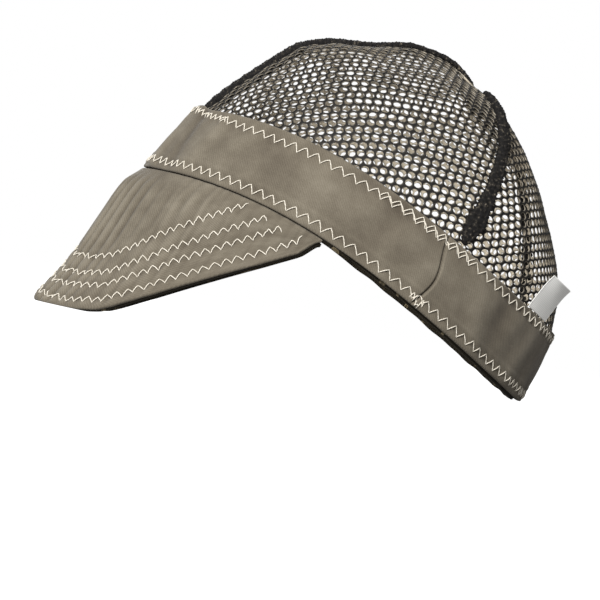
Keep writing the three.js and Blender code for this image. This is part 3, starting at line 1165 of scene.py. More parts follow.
@dataclass
class Peak:
    """The quilted peak: puckered twill with four rows of zigzag, over a printed lining."""

    form: CapForm
    twill: bpy.types.Material
    print_cloth: bpy.types.Material
    columns: int = 440
    rows: int = 100
    lining_rows: int = 50
    grid: tuple[int, int] = (241, 81)  # columns and rows where the way to the edge is measured
    quilting: tuple[float, ...] = (5.2, 13.4, 20.4, 29.4)  # mm from the free edge to each row
    row_reach: float = 2.0  # mm over which a row pulls the cloth in to either side
    row_depth: float = 0.95  # mm
    quilt_height: float = 0.35  # mm that the quilted part stands out between its rows
    pucker_gap: float = 8.2  # mm between the puckers that cross the rows
    pucker_depth: float = 0.85  # mm, and a little more at a row
    flute_gap: float = 9.3  # mm between the flutes above the rows
    flute_depth: float = 1.2  # mm
    quilted: tuple[float, float] = (40, 30)  # mm from the free edge where the flutes give way
    gathered: float = 44  # degrees to either side of the front, where the sheet is gathered
    width: float = 262  # mm along the curved sheet
    cloth_share: float = 0.72  # share of its length and width that is cloth, as its edge is rounded
    tuck: tuple[float, float] = (-1.2, 3.0)  # mm above the rim, where its edge is behind the band
    tuck_span: float = 0.995  # share of the peak's angles that this edge has
    tuck_rows: int = 6
    layer: float = 0.7  # mm of cloth there
    lining_short: float = 0.4  # share of what the lining shows in the solids that is held back
    lining_gap: float = 0.65  # mm between the two cloths
    wear_and_shade_gain: float = 0.85  # how much paler a fold that stands out a millimetre is painted, as rubbed wear, and darker a sunk one, as painted shade

    def __post_init__(self) -> None:
        """Measures how far the sheet is from the nearest point of its free edge, on a grid.

        It also measures the free edge's run, its length from one corner to each column.
        """
        half = np.radians(self.form.peak_half_angle)
        self.angles = np.linspace(-half, half, self.grid[0])
        self.downs = np.linspace(0, 1, self.grid[1])
        a, d = np.meshgrid(self.angles, self.downs)
        sheet = self.form.peak(a, d, 0)
        edge = self.form.peak(self.angles, np.ones_like(self.angles), 0)
        self.run = run_along(edge)
        gaps = np.linalg.norm(sheet[:, :, None] - edge, axis=-1)
        self.from_edge = gaps.min(-1)
        self.from_edge[-1] = 0

    def look_up(self, table: Array, angle: Array, down: Array) -> Array:
        """Reads a table over angle and down, blended both ways between its points.

        Args:
            table: values at the grid's rows and columns.
            angle: radians round the rim, from the front.
            down: shares of the way down from the band.

        Returns:
            The table's value at each.
        """
        columns, rows = len(self.angles) - 1, len(self.downs) - 1
        turned = (angle - self.angles[0]) / (self.angles[-1] - self.angles[0])
        x, y = np.clip(turned, 0, 1) * columns, np.clip(down, 0, 1) * rows
        i, j = np.minimum(x.astype(int), columns - 1), np.minimum(y.astype(int), rows - 1)
        low = mix(table[j, i], table[j, i + 1], x - i)
        high = mix(table[j + 1, i], table[j + 1, i + 1], x - i)
        return mix(low, high, y - j)

    def relief(self, angle: Array, down: Array) -> Array:
        """How far the sheet stands out: rows pulled in as bells, and ridges as absolute sines.

        Puckers cross the rows. They are strongest at the front, where the sheet is gathered,
        waver as sums of slower sines, and give way to longer soft flutes above the rows.

        Args:
            angle: radians round the rim, from the front.
            down: shares of the way down from the band.

        Returns:
            The relief in millimetres.
        """
        away = self.look_up(self.from_edge, angle, down)
        beside = np.interp(angle, self.angles, self.run)
        rows = sum(bell(away, row, self.row_reach) for row in self.quilting)
        front = 0.2 + 0.8 * bell(angle_from(angle, 0), 0, self.gathered)
        front = front * (0.78 + 0.22 * np.sin(beside / 10.3 + 0.6))
        waver = 1.3 * np.sin(beside / 9.1) + 0.9 * np.sin(beside / 3.7 + 1) + 0.05 * away
        pucker = 2 * np.abs(np.sin((TURN * beside / self.pucker_gap + waver) / 2)) ** 0.8 - 1
        drift = 2.1 * np.sin(beside / 17) + 0.03 * away
        flute = 2 * np.abs(np.sin((TURN * beside / self.flute_gap + drift) / 2)) - 1
        quilted = smoothstep(away, *self.quilted)
        body = (self.quilt_height - self.row_depth * rows) * (0.3 + 0.7 * front)
        body = body + front * pucker * (self.pucker_depth + 0.25 * rows)
        last_puckers = 0.7 * pucker * bell(away, 42, 16)
        high = last_puckers + self.flute_depth * flute * smoothstep(down, 0.02, 0.2)
        whole = body * quilted + front * (1 - quilted) * high
        return whole * smoothstep(away, 0.0, 2.5) + 0.3 * front * flute * quilted

    def wear_and_shade(self, angle: Array, up: Array) -> Array:
        """How much paler the cloth is painted: puckers that stand out paler, as rubbed wear, and what is
        sunk at the stitches darker, as painted shade.
        """
        return np.clip(self.wear_and_shade_gain * self.relief(angle, 1 - up), -1, 1)

    def plain(self, angle: Array, up: Array) -> Array:
        """The peak's outer face without relief, with shares of the way up from its free edge."""
        return self.form.peak(angle, 1 - up, 0)

    def short(self, angle: Array, up: Array) -> Array:
        """The same face for the lining, held a little shorter."""
        return self.form.peak(angle, 1 - up, -self.lining_short * self.form.peak_lining_show)

    def face(self, angle: Array, down: Array) -> Array:
        """The peak's outer face with its relief."""
        return inset(self.plain, angle, 1 - down, -self.relief(angle, down))

    def down_at(self, angle: Array, away: Array) -> Array:
        """Finds the lowest place on each column that is a given way from the free edge.

        Args:
            angle: radians round the rim, from the front.
            away: millimetres from the free edge.

        Returns:
            Shares of the way down from the band, or NaN where the sheet is never so far away.
        """
        column = np.round(np.interp(angle, self.angles, np.arange(len(self.angles)))).astype(int)
        table = self.from_edge[:, column]
        last = (table >= away).sum(0) - 1
        row = np.clip(last, 0, len(self.downs) - 2)
        picks = np.arange(len(column))
        high, low = table[row, picks], table[row + 1, picks]
        share = (high - away) / np.maximum(high - low, 1e-9)
        return np.where(last >= 0, (row + share) / (len(self.downs) - 1), np.nan)

    def outside(self, angle: Array, share: Array, beyond: Array, depth: Array) -> Array:
        """The peak's twill, placed as sheet_net asks, its share running up from the free edge."""
        down = 1 - share - beyond / self.form.peak_drop_at(angle)
        return self.face(angle, down) - normal(self.plain, angle, 1 - down) * depth[..., None]

    def tucked(self, angle: Array, share: Array, beyond: Array, depth: Array) -> Array:
        """The peak's upper edge, trimmed to one layer and held up behind the band."""
        depth = depth + self.form.band_cloth + self.form.clearance
        return inset(self.form.band, angle, mix(*self.tuck, share) + beyond, depth)

    def below(self, angle: Array, share: Array, beyond: Array, depth: Array) -> Array:
        """The lining behind the peak, placed as sheet_net asks."""
        up = share + beyond / self.form.peak_drop_at(angle)
        return inset(self.short, angle, up, self.form.peak_cloth + self.lining_gap + depth)

    def build(self) -> None:
        """Makes the peak and its lining."""
        form = self.form
        half = np.radians(form.peak_half_angle)
        angles = np.linspace(-half, half, self.columns)
        lengths = (self.width, form.peak_drop)
        cloth = Section(form.peak_cloth, self.rows)
        sheet = sheet_net(form, self.outside, angles, cloth, False, lengths, self.wear_and_shade)
        inner_angles = angles[::2] * self.tuck_span
        cloth = Section(self.layer, self.tuck_rows)
        edge = sheet_net(form, self.tucked, inner_angles, cloth, False, (self.width, self.tuck[1]))
        peak = make_piece("peak_cloth", joined([sheet, edge]), self.twill)
        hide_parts("peak")

        cloth = Section(form.lining_cloth, self.lining_rows)
        net = sheet_net(form, self.below, angles[::2], cloth, False, lengths)
        under = make_piece("peak_lining_cloth", net, self.print_cloth)
        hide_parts("peak_lining")


@dataclass
class Label:
    """A bare care label of white satin tape, sewn in at the top of the band."""

    form: CapForm
    tape: bpy.types.Material
    columns: int = 40
    rows: int = 40
    thickness: float = 0.6  # mm
    bow: float = 0.8  # mm that its middle stands out at the free end
    ripple: float = 0.25  # mm

    def place(self, across: Array, share: Array, beyond: Array, depth: Array) -> Array:
        """The tape, bowed and rippled by sines that grow to its end.

        Args:
            across: shares of its width.
            share: shares of the way up it from the band.
            beyond: millimetres added to that.
            depth: millimetres inside its outer face.

        Returns:
            Points of the cap's own frame.
        """
        up = share + beyond / self.form.label_length
        wave = self.bow * np.sin(np.pi * across) + self.ripple * np.sin(TURN * (across + up))
        return inset(self.form.label, across, up, depth - wave * up)

    def build(self) -> None:
        """Makes the label."""
        form = self.form
        across = np.linspace(0, 1, self.columns)
        cloth = Section(self.thickness, self.rows)
        lengths = (form.label_width, form.label_length)
        net = sheet_net(form, self.place, across, cloth, False, lengths)
        label = make_piece("label_tape", net, self.tape)
        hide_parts("label")


@dataclass
class FlatPattern:
    """A crown panel flattened onto its net cloth, so that the knit can be laid out evenly.

    The panel is sampled on a coarse grid. Its flat form keeps each triangle as rigid as it can:
    every round turns each triangle's true shape to match the flat one, and then solves for the
    points whose edges come nearest to the turned ones.
    """

    form: CapForm
    left: Seam
    right: Seam
    steps: int = 26
    rounds: int = 40
    stiffness: tuple[float, float] = (0.02, 8)  # least and most that an edge counts
    batch: int = 1500  # spots looked for at a time

    def __post_init__(self) -> None:
        """Samples and flattens the panel."""
        size = self.steps + 1
        p, q = np.meshgrid(np.linspace(0, 1, size), np.linspace(0, 1, size))
        self.shares = np.stack([p.ravel(), q.ravel()], -1)
        self.solid = self.surface(p, q).reshape(-1, 3)
        quads, _ = grid_quads(size, size, False, False)
        self.triangles = np.concatenate([quads[:, [0, 1, 2]], quads[:, [0, 2, 3]]])
        a, b, c = (self.solid[self.triangles[:, corner]] for corner in range(3))
        facing = np.cross(b - a, c - a)
        self.flat = self.first_guess(unit(facing.sum(0)))
        along = unit(b - a)
        aside = np.cross(unit(facing), along)
        self.true_edges = np.stack([
            np.stack([(edge * along).sum(-1), (edge * aside).sum(-1)], -1)
            for edge in (b - a, c - b, a - c)
        ], 1)
        opposite = np.stack([c, a, b], 1)
        starts, ends = np.stack([a, b, c], 1), np.stack([b, c, a], 1)
        one, two = starts - opposite, ends - opposite
        area = np.maximum(np.linalg.norm(np.cross(one, two), axis=-1), 1e-9)
        self.weight = np.clip((one * two).sum(-1) / area, *self.stiffness)
        self.flatten()

    def surface(self, p: Array, q: Array) -> Array:
        """The panel in the cap's own frame."""
        return self.form.panel(self.left, self.right, p, q)

    def first_guess(self, facing: Array) -> Array:
        """The panel seen along its mean normal.

        Args:
            facing: that normal.

        Returns:
            Flat points.
        """
        across = unit(np.cross([0, 0, 1.0], facing))
        up = np.cross(facing, across)
        return np.stack([self.solid @ across, self.solid @ up], -1)

    def flatten(self) -> None:
        """Makes the flat form as rigid as it can be, with its first point held."""
        count = len(self.flat)
        starts, ends = self.triangles, self.triangles[:, [1, 2, 0]]
        ties = np.zeros((count, count))
        for first, second, sign in (
            (starts, starts, 1), (ends, ends, 1), (starts, ends, -1), (ends, starts, -1)
        ):
            np.add.at(ties, (first.ravel(), second.ravel()), sign * self.weight.ravel())
        ties[0, 0] += 1
        inverse = np.linalg.inv(ties)
        x, y = self.true_edges[..., 0], self.true_edges[..., 1]
        for _ in range(self.rounds):
            edges = self.flat[ends] - self.flat[starts]
            dot = (self.weight * (edges * self.true_edges).sum(-1)).sum(1)
            cross = (self.weight * (x * edges[..., 1] - y * edges[..., 0])).sum(1)
            turn = np.arctan2(cross, dot)[:, None]
            cos, sin = np.cos(turn), np.sin(turn)
            turned = np.stack([x * cos - y * sin, x * sin + y * cos], -1)
            pulls = (self.weight[..., None] * turned).reshape(-1, 2)
            pull = np.zeros((count, 2))
            np.add.at(pull, ends.ravel(), pulls)
            np.add.at(pull, starts.ravel(), -pulls)
            self.flat = inverse @ pull

    def turn_to(self, direction: Array, p: float, q: float) -> None:
        """Turns the flat form so that a direction in the cap's frame lies along its x.

        Args:
            direction: the direction, in the cap's frame.
            p: where it is taken, as a share of the way across the panel.
            q: and as a share of the way up.
        """
        middle = np.abs(self.shares - [p, q]).sum(1).argmin()
        row = self.steps + 1
        solid = self.solid[[middle + 1, middle + row]] - self.solid[middle]
        flat = self.flat[[middle + 1, middle + row]] - self.flat[middle]
        shares, *_ = np.linalg.lstsq(solid.T, direction, rcond=None)
        x, y = shares @ flat
        size = np.hypot(x, y)
        self.flat = (self.flat - self.flat[middle]) @ np.array([[x, -y], [y, x]]) / size

    def back_to_panel(self, spots: Array) -> tuple[Array, Array]:
        """Finds spots of the flat form on the panel, moving those outside it to its edge.

        A spot's place in a triangle is its three shares of the corners, each a ratio of areas.

        Args:
            spots: points of the flat form.

        Returns:
            The panel's p and q of each spot, and how far inside its triangle each is.
        """
        a, b, c = (self.flat[self.triangles[:, corner]] for corner in range(3))
        ab, ac = b - a, c - a
        double = ab[:, 0] * ac[:, 1] - ab[:, 1] * ac[:, 0]
        found, inside = [], []
        for part in np.array_split(spots, max(1, len(spots) // self.batch)):
            x, y = part[:, None, 0], part[:, None, 1]
            u = ((b[:, 0] - x) * (c[:, 1] - y) - (b[:, 1] - y) * (c[:, 0] - x)) / double
            v = ((c[:, 0] - x) * (a[:, 1] - y) - (c[:, 1] - y) * (a[:, 0] - x)) / double
            shares = np.stack([u, v, 1 - u - v], -1)
            least = shares.min(-1)
            best = least.argmax(1)
            picks = np.arange(len(part))
            inside.append(least[picks, best])
            held = np.maximum(shares[picks, best], 0)
            held /= held.sum(-1, keepdims=True)
            found.append((self.shares[self.triangles[best]] * held[..., None]).sum(1))
        return np.concatenate(found), np.concatenate(inside)


@dataclass
class NetPanel:
    """A crown panel of knitted net, laid out in cells with a round hole each.

    Cells sit on a sheared lattice. Each has a six-sided outline that its neighbours share, and a
    hole drawn in from it. The yarn is raised along the outlines and thins to an edge at the hole.
    """

    form: CapForm
    knit: bpy.types.Material
    name: str
    left: Seam
    right: Seam
    rows_along: tuple[float, float, float]  # direction of the knit's rows in the cap's frame
    anchor: tuple[float, float] = (0.5, 0.35)  # where that direction is taken, in p and q
    pitch: float = 4.45  # mm between holes along a row
    row_gap: float = 3.85  # mm between rows
    row_shift: float = 0.9  # mm that each row is set over
    hole: tuple[float, float] = (3.5, 3.03)  # mm
    yarn: float = 0.38  # mm, half the knit's thickness
    crease: float = 0.55  # mm, beside the seams
    swell: float = 0.8  # mm, between them
    hole_uneven: tuple[float, float] = (0.035, 0.03)  # shares that a hole and its sides vary by
    hole_drift: float = 0.07  # mm that a hole is off its middle
    knot_drift: float = 0.05  # mm that a knot is off its place
    knot_lump: float = 0.35  # share that a knot is thicker or thinner
    shoulder: tuple[float, float] = (0.55, 0.8)  # share of the way to the hole, and of the thickness
    rim_painted_light: float = 0.3  # how much of the inner side's painted pale light the hole's rim gets, where the inner side gets 1
    allowance: tuple[float, float] = (0.12, 0.2)  # shares folded under, left and right, near the apex
    fold_rise: tuple[float, float] = (0.4, 0.95)  # shares of the way up over which the fold widens
    fold_shift: tuple[float, float] = (0.47, 0.36)  # shares of a cell that its holes are set over
    under: float = 1.7  # mm from the face to the folded layer
    least_area: float = 0.3  # share of the flat size that the knit covers at least
    seed: int = 3

    def crumple(self, p: Array, q: Array) -> Array:
        """Creases near the seams, and broad waves between them, as products of sines.

        Args:
            p: shares of the way across the panel.
            q: shares of the way up it.

        Returns:
            How far the net is sunk, in millimetres.
        """
        near_seam = np.exp(-np.minimum(p, 1 - p) / 0.09)
        creases = self.crease * np.sin(46 * q + 9 * np.sin(7 * p)) * near_seam
        middle = np.sin(np.pi * np.clip(p, 0, 1))
        waves = self.swell * np.sin(11 * p + 5 * q) * np.sin(9 * q + 2) * middle
        tuck = self.form.tuck_share
        return (creases + waves) * smoothstep(q, tuck, tuck + 0.12) * smoothstep(q, 1.0, 0.9)

    def cells(self, pattern: FlatPattern) -> tuple[Array, Array]:
        """Lays the lattice of cells over the flat pattern.

        Args:
            pattern: the panel's flat pattern.

        Returns:
            Middles of the cells inside the panel, and the six corners of a cell round its middle.
        """
        a, b = np.array([self.pitch, 0]), np.array([self.row_shift, self.row_gap])
        low, high = pattern.flat.min(0), pattern.flat.max(0)
        reach = int(np.linalg.norm(high - low) / self.row_gap) + 4
        i, j = np.meshgrid(np.arange(-reach, reach + 1), np.arange(-reach, reach + 1))
        middles = (low + high) / 2 + i.reshape(-1, 1) * a + j.reshape(-1, 1) * b
        near = np.all((middles > low - self.row_gap) & (middles < high + self.row_gap), axis=1)
        middles = middles[near]
        _, inside = pattern.back_to_panel(middles)
        corners = np.array([2 * a - b, a + b, 2 * b - a, b - 2 * a, -a - b, a - 2 * b]) / 3
        return middles[inside > ON_PANEL], corners

    def knitted(
        self, pattern: FlatPattern, middles: Array, corners: Array, depth: float, seed: int
    ) -> Net:
        """Knits cells: knots along the outlines, a shoulder inside them, and the hole's rim.

        Args:
            pattern: the panel's flat pattern.
            middles: the cells' middles on it.
            corners: a cell's corners round its middle.
            depth: millimetres under the panel's face.
            seed: for the small unevenness of the holes and knots.

        Returns:
            The closed mesh, its inner side painted pale as painted light.
        """
        form = self.form
        outline = np.stack([corners, (corners + np.roll(corners, -1, 0)) / 2], 1).reshape(-1, 2)
        sides, count = len(outline), len(middles)
        bearing = np.arctan2(outline[:, 1], outline[:, 0])
        hole = np.stack([np.cos(bearing), np.sin(bearing)], -1) * self.hole / 2
        random = np.random.default_rng(seed)
        size = 1 + random.normal(0, self.hole_uneven[0], (count, 1, 1))
        drift = random.normal(0, self.hole_drift, (count, 1, 2))
        wobble = 1 + random.normal(0, self.hole_uneven[1], (count, sides, 1))
        rim = middles[:, None] + hole * size * wobble + drift
        outer = middles[:, None] + outline
        knots, shared = np.unique(np.round(outer.reshape(-1, 2), 3), axis=0, return_inverse=True)
        shared = shared.reshape(count, sides)
        knots = knots + random.normal(0, self.knot_drift, knots.shape)
        inwards, thinner = self.shoulder
        shoulder = mix(knots[shared], rim, inwards)
        spots = np.concatenate([knots, shoulder.reshape(-1, 2), rim.reshape(-1, 2)])
        p, q = pattern.back_to_panel(spots)[0].T
        surface = inset(pattern.surface, p, q, form.net_cloth / 2 + depth + self.crumple(p, q))
        facing = normal(pattern.surface, p, q)
        lumps = 1 + self.knot_lump * np.sin(knots[:, 0] * 2.3 + knots[:, 1] * 3.1)
        ring = count * sides
        height = np.concatenate([self.yarn * lumps, np.full(ring, thinner * self.yarn)])[:, None]
        raised = len(knots) + ring
        top = surface[:raised] + facing[:raised] * height
        bottom = surface[:raised] - facing[:raised] * height
        points = form.placed(np.concatenate([top, bottom, surface[raised:]]))
        numbers = np.arange(ring).reshape(count, sides)
        shoulders, rims = len(knots) + numbers, 2 * raised + numbers
        quads = []
        for lift in (0, raised):
            for first, second in ((shared + lift, shoulders + lift), (shoulders + lift, rims)):
                ahead = np.stack([first, np.roll(first, -1, 1), np.roll(second, -1, 1), second], -1)
                quads.append((ahead if lift == 0 else ahead[..., ::-1]).reshape(-1, 4))
        edges = np.stack([shared, np.roll(shared, -1, 1)], -1).reshape(-1, 2)
        codes = np.sort(edges, 1) @ [len(knots), 1]
        _, first, uses = np.unique(codes, return_index=True, return_counts=True)
        start, end = edges[first[uses == 1]].T
        quads.append(np.stack([end, start, start + raised, end + raised], -1))
        # the inner side and the holes' rims are painted paler: painted light for the lit net seen
        # through the holes
        pale = np.concatenate([np.zeros(raised), np.ones(raised), np.full(ring, self.rim_painted_light)])
        return Net(points, np.concatenate(quads), tone=pale)

    def build(self) -> None:
        """Makes the panel, and the allowance that is folded under it beside its seams."""
        pattern = FlatPattern(self.form, self.left, self.right)
        pattern.turn_to(np.array(self.rows_along), *self.anchor)
        middles, corners = self.cells(pattern)
        face = self.knitted(pattern, middles, corners, 0.0, self.seed)
        shift = np.array(self.fold_shift) * [self.pitch, self.row_gap]
        shares, inside = pattern.back_to_panel(middles + shift)
        p, q = shares.T
        left, right = np.array(self.allowance)[:, None] * smoothstep(q, *self.fold_rise)
        folded = (inside > ON_PANEL) & ((p < left) | (1 - p < right))
        spots = middles[folded] + shift
        fold = self.knitted(pattern, spots, corners, self.under, self.seed + 10)
        piece = make_piece(self.name + "_net", joined([face, fold]), self.knit)
        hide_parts(self.name)


@dataclass
class SeamStrip:
    """The net's allowance folded over several times along a crown seam: a dark, lumpy roll."""

    form: CapForm
    folded: bpy.types.Material
    seam: Seam
    length: float  # mm
    broad: float = 0.6  # share of the seam's width that the roll takes up near the apex
    spread_at_band: float = 0.4  # share that it is wider by where it goes in behind the band
    spread_reach: float = 0.25  # share of its length over which it narrows
    thick: float = 3.4  # mm at the middle of the roll
    swell: float = 0.0  # share that it is thicker by at the band
    tail: float = 0.5  # share of its width that is left where it goes in behind the band
    sunk: float = 0.9  # mm that its middle is below the strip's
    lump: float = 0.36  # mm, the knit's lumps
    ridge: float = 0.2  # mm, the slower lumps under them
    folds: tuple = ((0.45, 0.35, 0.12), (0.3, -0.4, 0.1))  # mm deep, share aside, share wide
    fill: float = 0.5
    columns: int = 300
    around: int = 44

    def relief(self, along: Array, spread: Array) -> Array:
        """Lumps as products of sines that drift along the roll, and two long folds as grooves.

        Args:
            along: millimetres along the roll.
            spread: shares of its half width, to either side.

        Returns:
            How far the roll stands out, in millimetres.
        """
        aside = spread * self.seam.width / 4
        lumps = self.lump * np.sin(along * 2.7 + 2 * spread) * np.sin(4.2 * aside + along * 0.6)
        lumps = lumps + self.ridge * np.sin(along * 1.13 + 5 * spread)
        (deep, middle, wide), (shallow, other, narrow) = self.folds
        wavering = middle + 0.12 * np.sin(along / 8)
        return lumps - deep * bell(spread, wavering, wide) - shallow * bell(spread, other, narrow)

    def build(self) -> None:
        """Makes the strip: an oval section whose width wavers along it as sums of sines."""
        form = self.form
        around = np.arange(self.around) / self.around * TURN
        q, turn = np.meshgrid(np.linspace(0, 1, self.columns), around)
        along = q * self.length
        closed = np.sqrt(np.clip(1 - np.abs(2 * q - 1) ** 24, 0, 1))
        side, lift = np.cos(turn), np.sin(turn)
        spread = np.sign(side) * np.abs(side) ** 0.8
        wavering = 1 + 0.10 * np.sin(along / 5.3) + 0.07 * np.sin(along / 2.1 + 1)
        ragged = 1 + 0.09 * np.sin(along * 2.9) + 0.07 * np.sin(along * 4.7 + 2)
        near_band = np.exp(-((q / self.spread_reach) ** 4))
        broad = self.broad + self.spread_at_band * near_band
        broad = broad * mix(self.tail, 1.0, smoothstep(q, 0.0, 0.14))
        thick = self.thick * (1 + self.swell * near_band)
        p = 0.5 + 0.5 * spread * closed * wavering * broad * ragged
        oval = thick * np.sign(lift) * np.abs(lift) ** 0.6 / 2
        rise = (oval + self.relief(along, spread) * np.maximum(lift, 0)) * closed
        middle = form.seam_cloth / 2 + self.sunk + (thick - self.thick) / 2
        points = form.placed(form.seam_strip(self.seam, p, q, middle - rise))
        quads, _ = grid_quads(self.around, self.columns, True, False)
        net = Net(points.reshape(-1, 3), quads)
        piece = make_piece(self.seam.node + "_roll", net, self.folded)
        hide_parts(self.seam.node)


@dataclass(frozen=True)
class ZigzagRow:
    """A row of zigzag on the band: where it runs, in degrees, and how it is sewn, in millimetres."""

    first: float
    last: float
    period: float  # between two turns on the same side
    width: float  # from side to side
    seed: int  # for the small unevenness of sewing
    lift: float = 0.0  # how much higher it is than the line that it follows


@dataclass
class Stitching:
    """Rows of zigzag: a thread that leaps from needle hole to needle hole over the cloth."""

    form: CapForm
    thread: bpy.types.Material
    band: Band
    peak: Peak
    radius: float = 0.27  # mm
    points_a_leg: int = 5
    sides: int = 6
    end_radius: float = 0.3  # share of the radius that is left at the thread's ends
    uneven: tuple[float, float] = (0.12, 0.14)  # mm that a needle hole is off, along and aside
    bow: float = 0.22  # mm that a leg bows out
    sunk: float = 0.15  # mm that the thread is sunk at a needle hole
    leap: float = 0.5  # mm that it rises from there
    hem: ZigzagRow = ZigzagRow(111.5, 472.5, 5.7, 3.9, 11)
    top: ZigzagRow = ZigzagRow(34, 374, 5.9, 3.7, 12)
    top_overlap: ZigzagRow = ZigzagRow(88, 119, 5.7, 3.6, 13, lift=0.9)
    front_overlap: ZigzagRow = ZigzagRow(13, 36, 4.4, 2.8, 14, lift=0.4)
    tack: ZigzagRow = ZigzagRow(108.5, 112.5, 1.6, 3.4, 15, lift=-0.6)
    tack_dip: tuple[float, float, float] = (3.5, 111, 0.5)  # mm, at degrees, over degrees
    quilting: tuple[float, float] = (5.5, 3.1)  # mm a zigzag and mm wide, on the peak
    quilting_seed: int = 21
    samples: int = 1201  # places where a row on the peak is measured
    quilting_ends: float = 2.2  # mm that a row ends short of where it would run out under the band

    def zigzag(self, length: float, start: float, period: float, width: float, seed: int) -> Array:
        """A row's thread in its own plane: along the row, aside from it, and above the cloth.

        Args:
            length: how long the row is, in mm.
            start: where it starts.
            period: mm between two turns on the same side.
            width: mm from side to side.
            seed: for the small unevenness of sewing by hand-guided machine.

        Returns:
            Rows of (along, aside, above).
        """
        random = np.random.default_rng(seed)
        legs = max(2, int(length / (period / 2)))
        count = np.arange(legs + 1)
        holes = start + count * length / legs + random.normal(0, self.uneven[0], legs + 1)
        offsets = random.normal(0, self.uneven[1], legs + 1)
        turns = width / 2 * np.where(count % 2, 1, -1) + offsets
        share = np.arange(legs * self.points_a_leg + 1) / self.points_a_leg
        leg = np.minimum(share.astype(int), legs - 1)
        t = share - leg
        arch = np.sin(np.pi * t)
        along = mix(holes[leg], holes[leg + 1], t) + self.bow * arch * np.where(leg % 2, 1, -1)
        aside = mix(turns[leg], turns[leg + 1], t)
        above = self.leap * arch**0.6 - self.sunk + self.radius * 0.6
        return np.stack([along, aside, above], -1)

    def tube(self, path: Array, facing: Array) -> tuple[Array, Array]:
        """A closed tube of thread: a six-sided ring carried along a path, thinner at its ends.

        Args:
            path: points of the cap's frame.
            facing: the cloth's normal at each.

        Returns:
            The tube's points and quads.
        """
        forward = unit(np.gradient(path, axis=0))
        aside = unit(np.cross(forward, facing))
        up = np.cross(aside, forward)
        turn = np.arange(self.sides) / self.sides * TURN
        ring = np.cos(turn)[:, None, None] * aside + np.sin(turn)[:, None, None] * up
        taper = np.ones(len(path))
        taper[[0, -1]] = self.end_radius
        points = path + ring * (self.radius * taper)[None, :, None]
        quads, _ = grid_quads(self.sides, len(path), True, False)
        caps = np.array([[0, 1, 2, 3], [0, 3, 4, 5]]) * len(path)
        quads = np.concatenate([quads, caps[:, ::-1], caps + len(path) - 1])
        return points.reshape(-1, 3), quads

    def hem_line(self, angle: Array) -> Array:
        """The height of the lower stitches' middle."""
        return np.full_like(angle, self.band.hem_row)

    def tack_line(self, angle: Array) -> Array:
        """The height of the join's tacking, which dips towards the rim as a bell."""
        dip, middle, turn = self.tack_dip
        return self.hem_line(angle) - dip * bell(angle_from(angle, middle), 0, turn)

    def band_row(self, line: Callable[[Array], Array], row: ZigzagRow) -> tuple[Array, Array]:
        """Sews a row on the band.

        Args:
            line: gives the height of the row's middle at an angle.
            row: where it runs and how it is sewn.

        Returns:
            The thread's points and quads.
        """
        a_degree = self.band.girth / 360
        start, length = row.first * a_degree, (row.last - row.first) * a_degree
        along, aside, above = self.zigzag(length, start, row.period, row.width, row.seed).T
        angle = np.radians(along / a_degree)
        height = line(angle) + row.lift + aside
        facing = normal(self.form.band, angle, height)
        path = self.band.face(angle, height) + facing * above[:, None]
        return self.tube(path, facing)

    def peak_row(self, away: float, seed: int) -> tuple[Array, Array]:
        """Sews a row on the peak, from band to band.

        The thread's way aside from the row is a vector in the cloth. It is turned into changes
        of the peak's two parameters by solving for them with the surface's two slopes.

        Args:
            away: millimetres from the free edge.
            seed: for the small unevenness of sewing.

        Returns:
            The thread's points and quads.
        """
        peak, step = self.peak, 1e-3
        angles = np.linspace(peak.angles[0], peak.angles[-1], self.samples)
        ends = peak.down_at(angles, np.full_like(angles, away + self.quilting_ends))
        angles = angles[~np.isnan(ends)]
        downs = peak.down_at(angles, np.full_like(angles, away))
        line = self.form.peak(angles, downs, 0)
        run = run_along(line)
        along, aside, above = self.zigzag(run[-1], 0, *self.quilting, seed).T
        angle, down = np.interp(along, run, angles), np.interp(along, run, downs)
        up = 1 - down
        by_angle = (peak.plain(angle + step, up) - peak.plain(angle - step, up)) / (2 * step)
        by_down = (peak.plain(angle, up - step) - peak.plain(angle, up + step)) / (2 * step)
        facing = normal(peak.plain, angle, up)
        slopes = [np.gradient(line[:, axis], run) for axis in range(3)]
        onward = unit(np.stack([np.interp(along, run, slope) for slope in slopes], -1))
        sideways = np.cross(facing, onward) * aside[:, None]
        aa, ad = (by_angle * by_angle).sum(-1), (by_angle * by_down).sum(-1)
        dd = (by_down * by_down).sum(-1)
        sa, sd = (by_angle * sideways).sum(-1), (by_down * sideways).sum(-1)
        angle = angle + (sa * dd - sd * ad) / (aa * dd - ad * ad)
        down = np.clip(down + (sd * aa - sa * ad) / (aa * dd - ad * ad), 0.01, 1)
        return self.tube(peak.face(angle, down) + facing * above[:, None], facing)

    def join(self, name: str, rows: list[tuple[Array, Array]]) -> None:
        """Makes one piece of several rows."""
        threads = [Net(self.form.placed(points), quads) for points, quads in rows]
        make_piece(name, joined(threads), self.thread)

    def build(self) -> None:
        """Makes the band's rows, with their overlapped ends, and the peak's."""
        top_line = self.band.top_row
        self.join("band_stitches", [
            self.band_row(self.hem_line, self.hem),
            self.band_row(top_line, self.top),
            self.band_row(top_line, self.top_overlap),
            self.band_row(top_line, self.front_overlap),
            self.band_row(self.tack_line, self.tack),
        ])
        self.join("peak_stitches", [
            self.peak_row(away, self.quilting_seed + index)
            for index, away in enumerate(self.peak.quilting)
        ])


@dataclass(frozen=True)
class Lamp:
    """A soft square light: where it hangs in metres, its side in metres, and its watts."""

    name: str
    place: tuple[float, float, float]
    size: float
    power: float


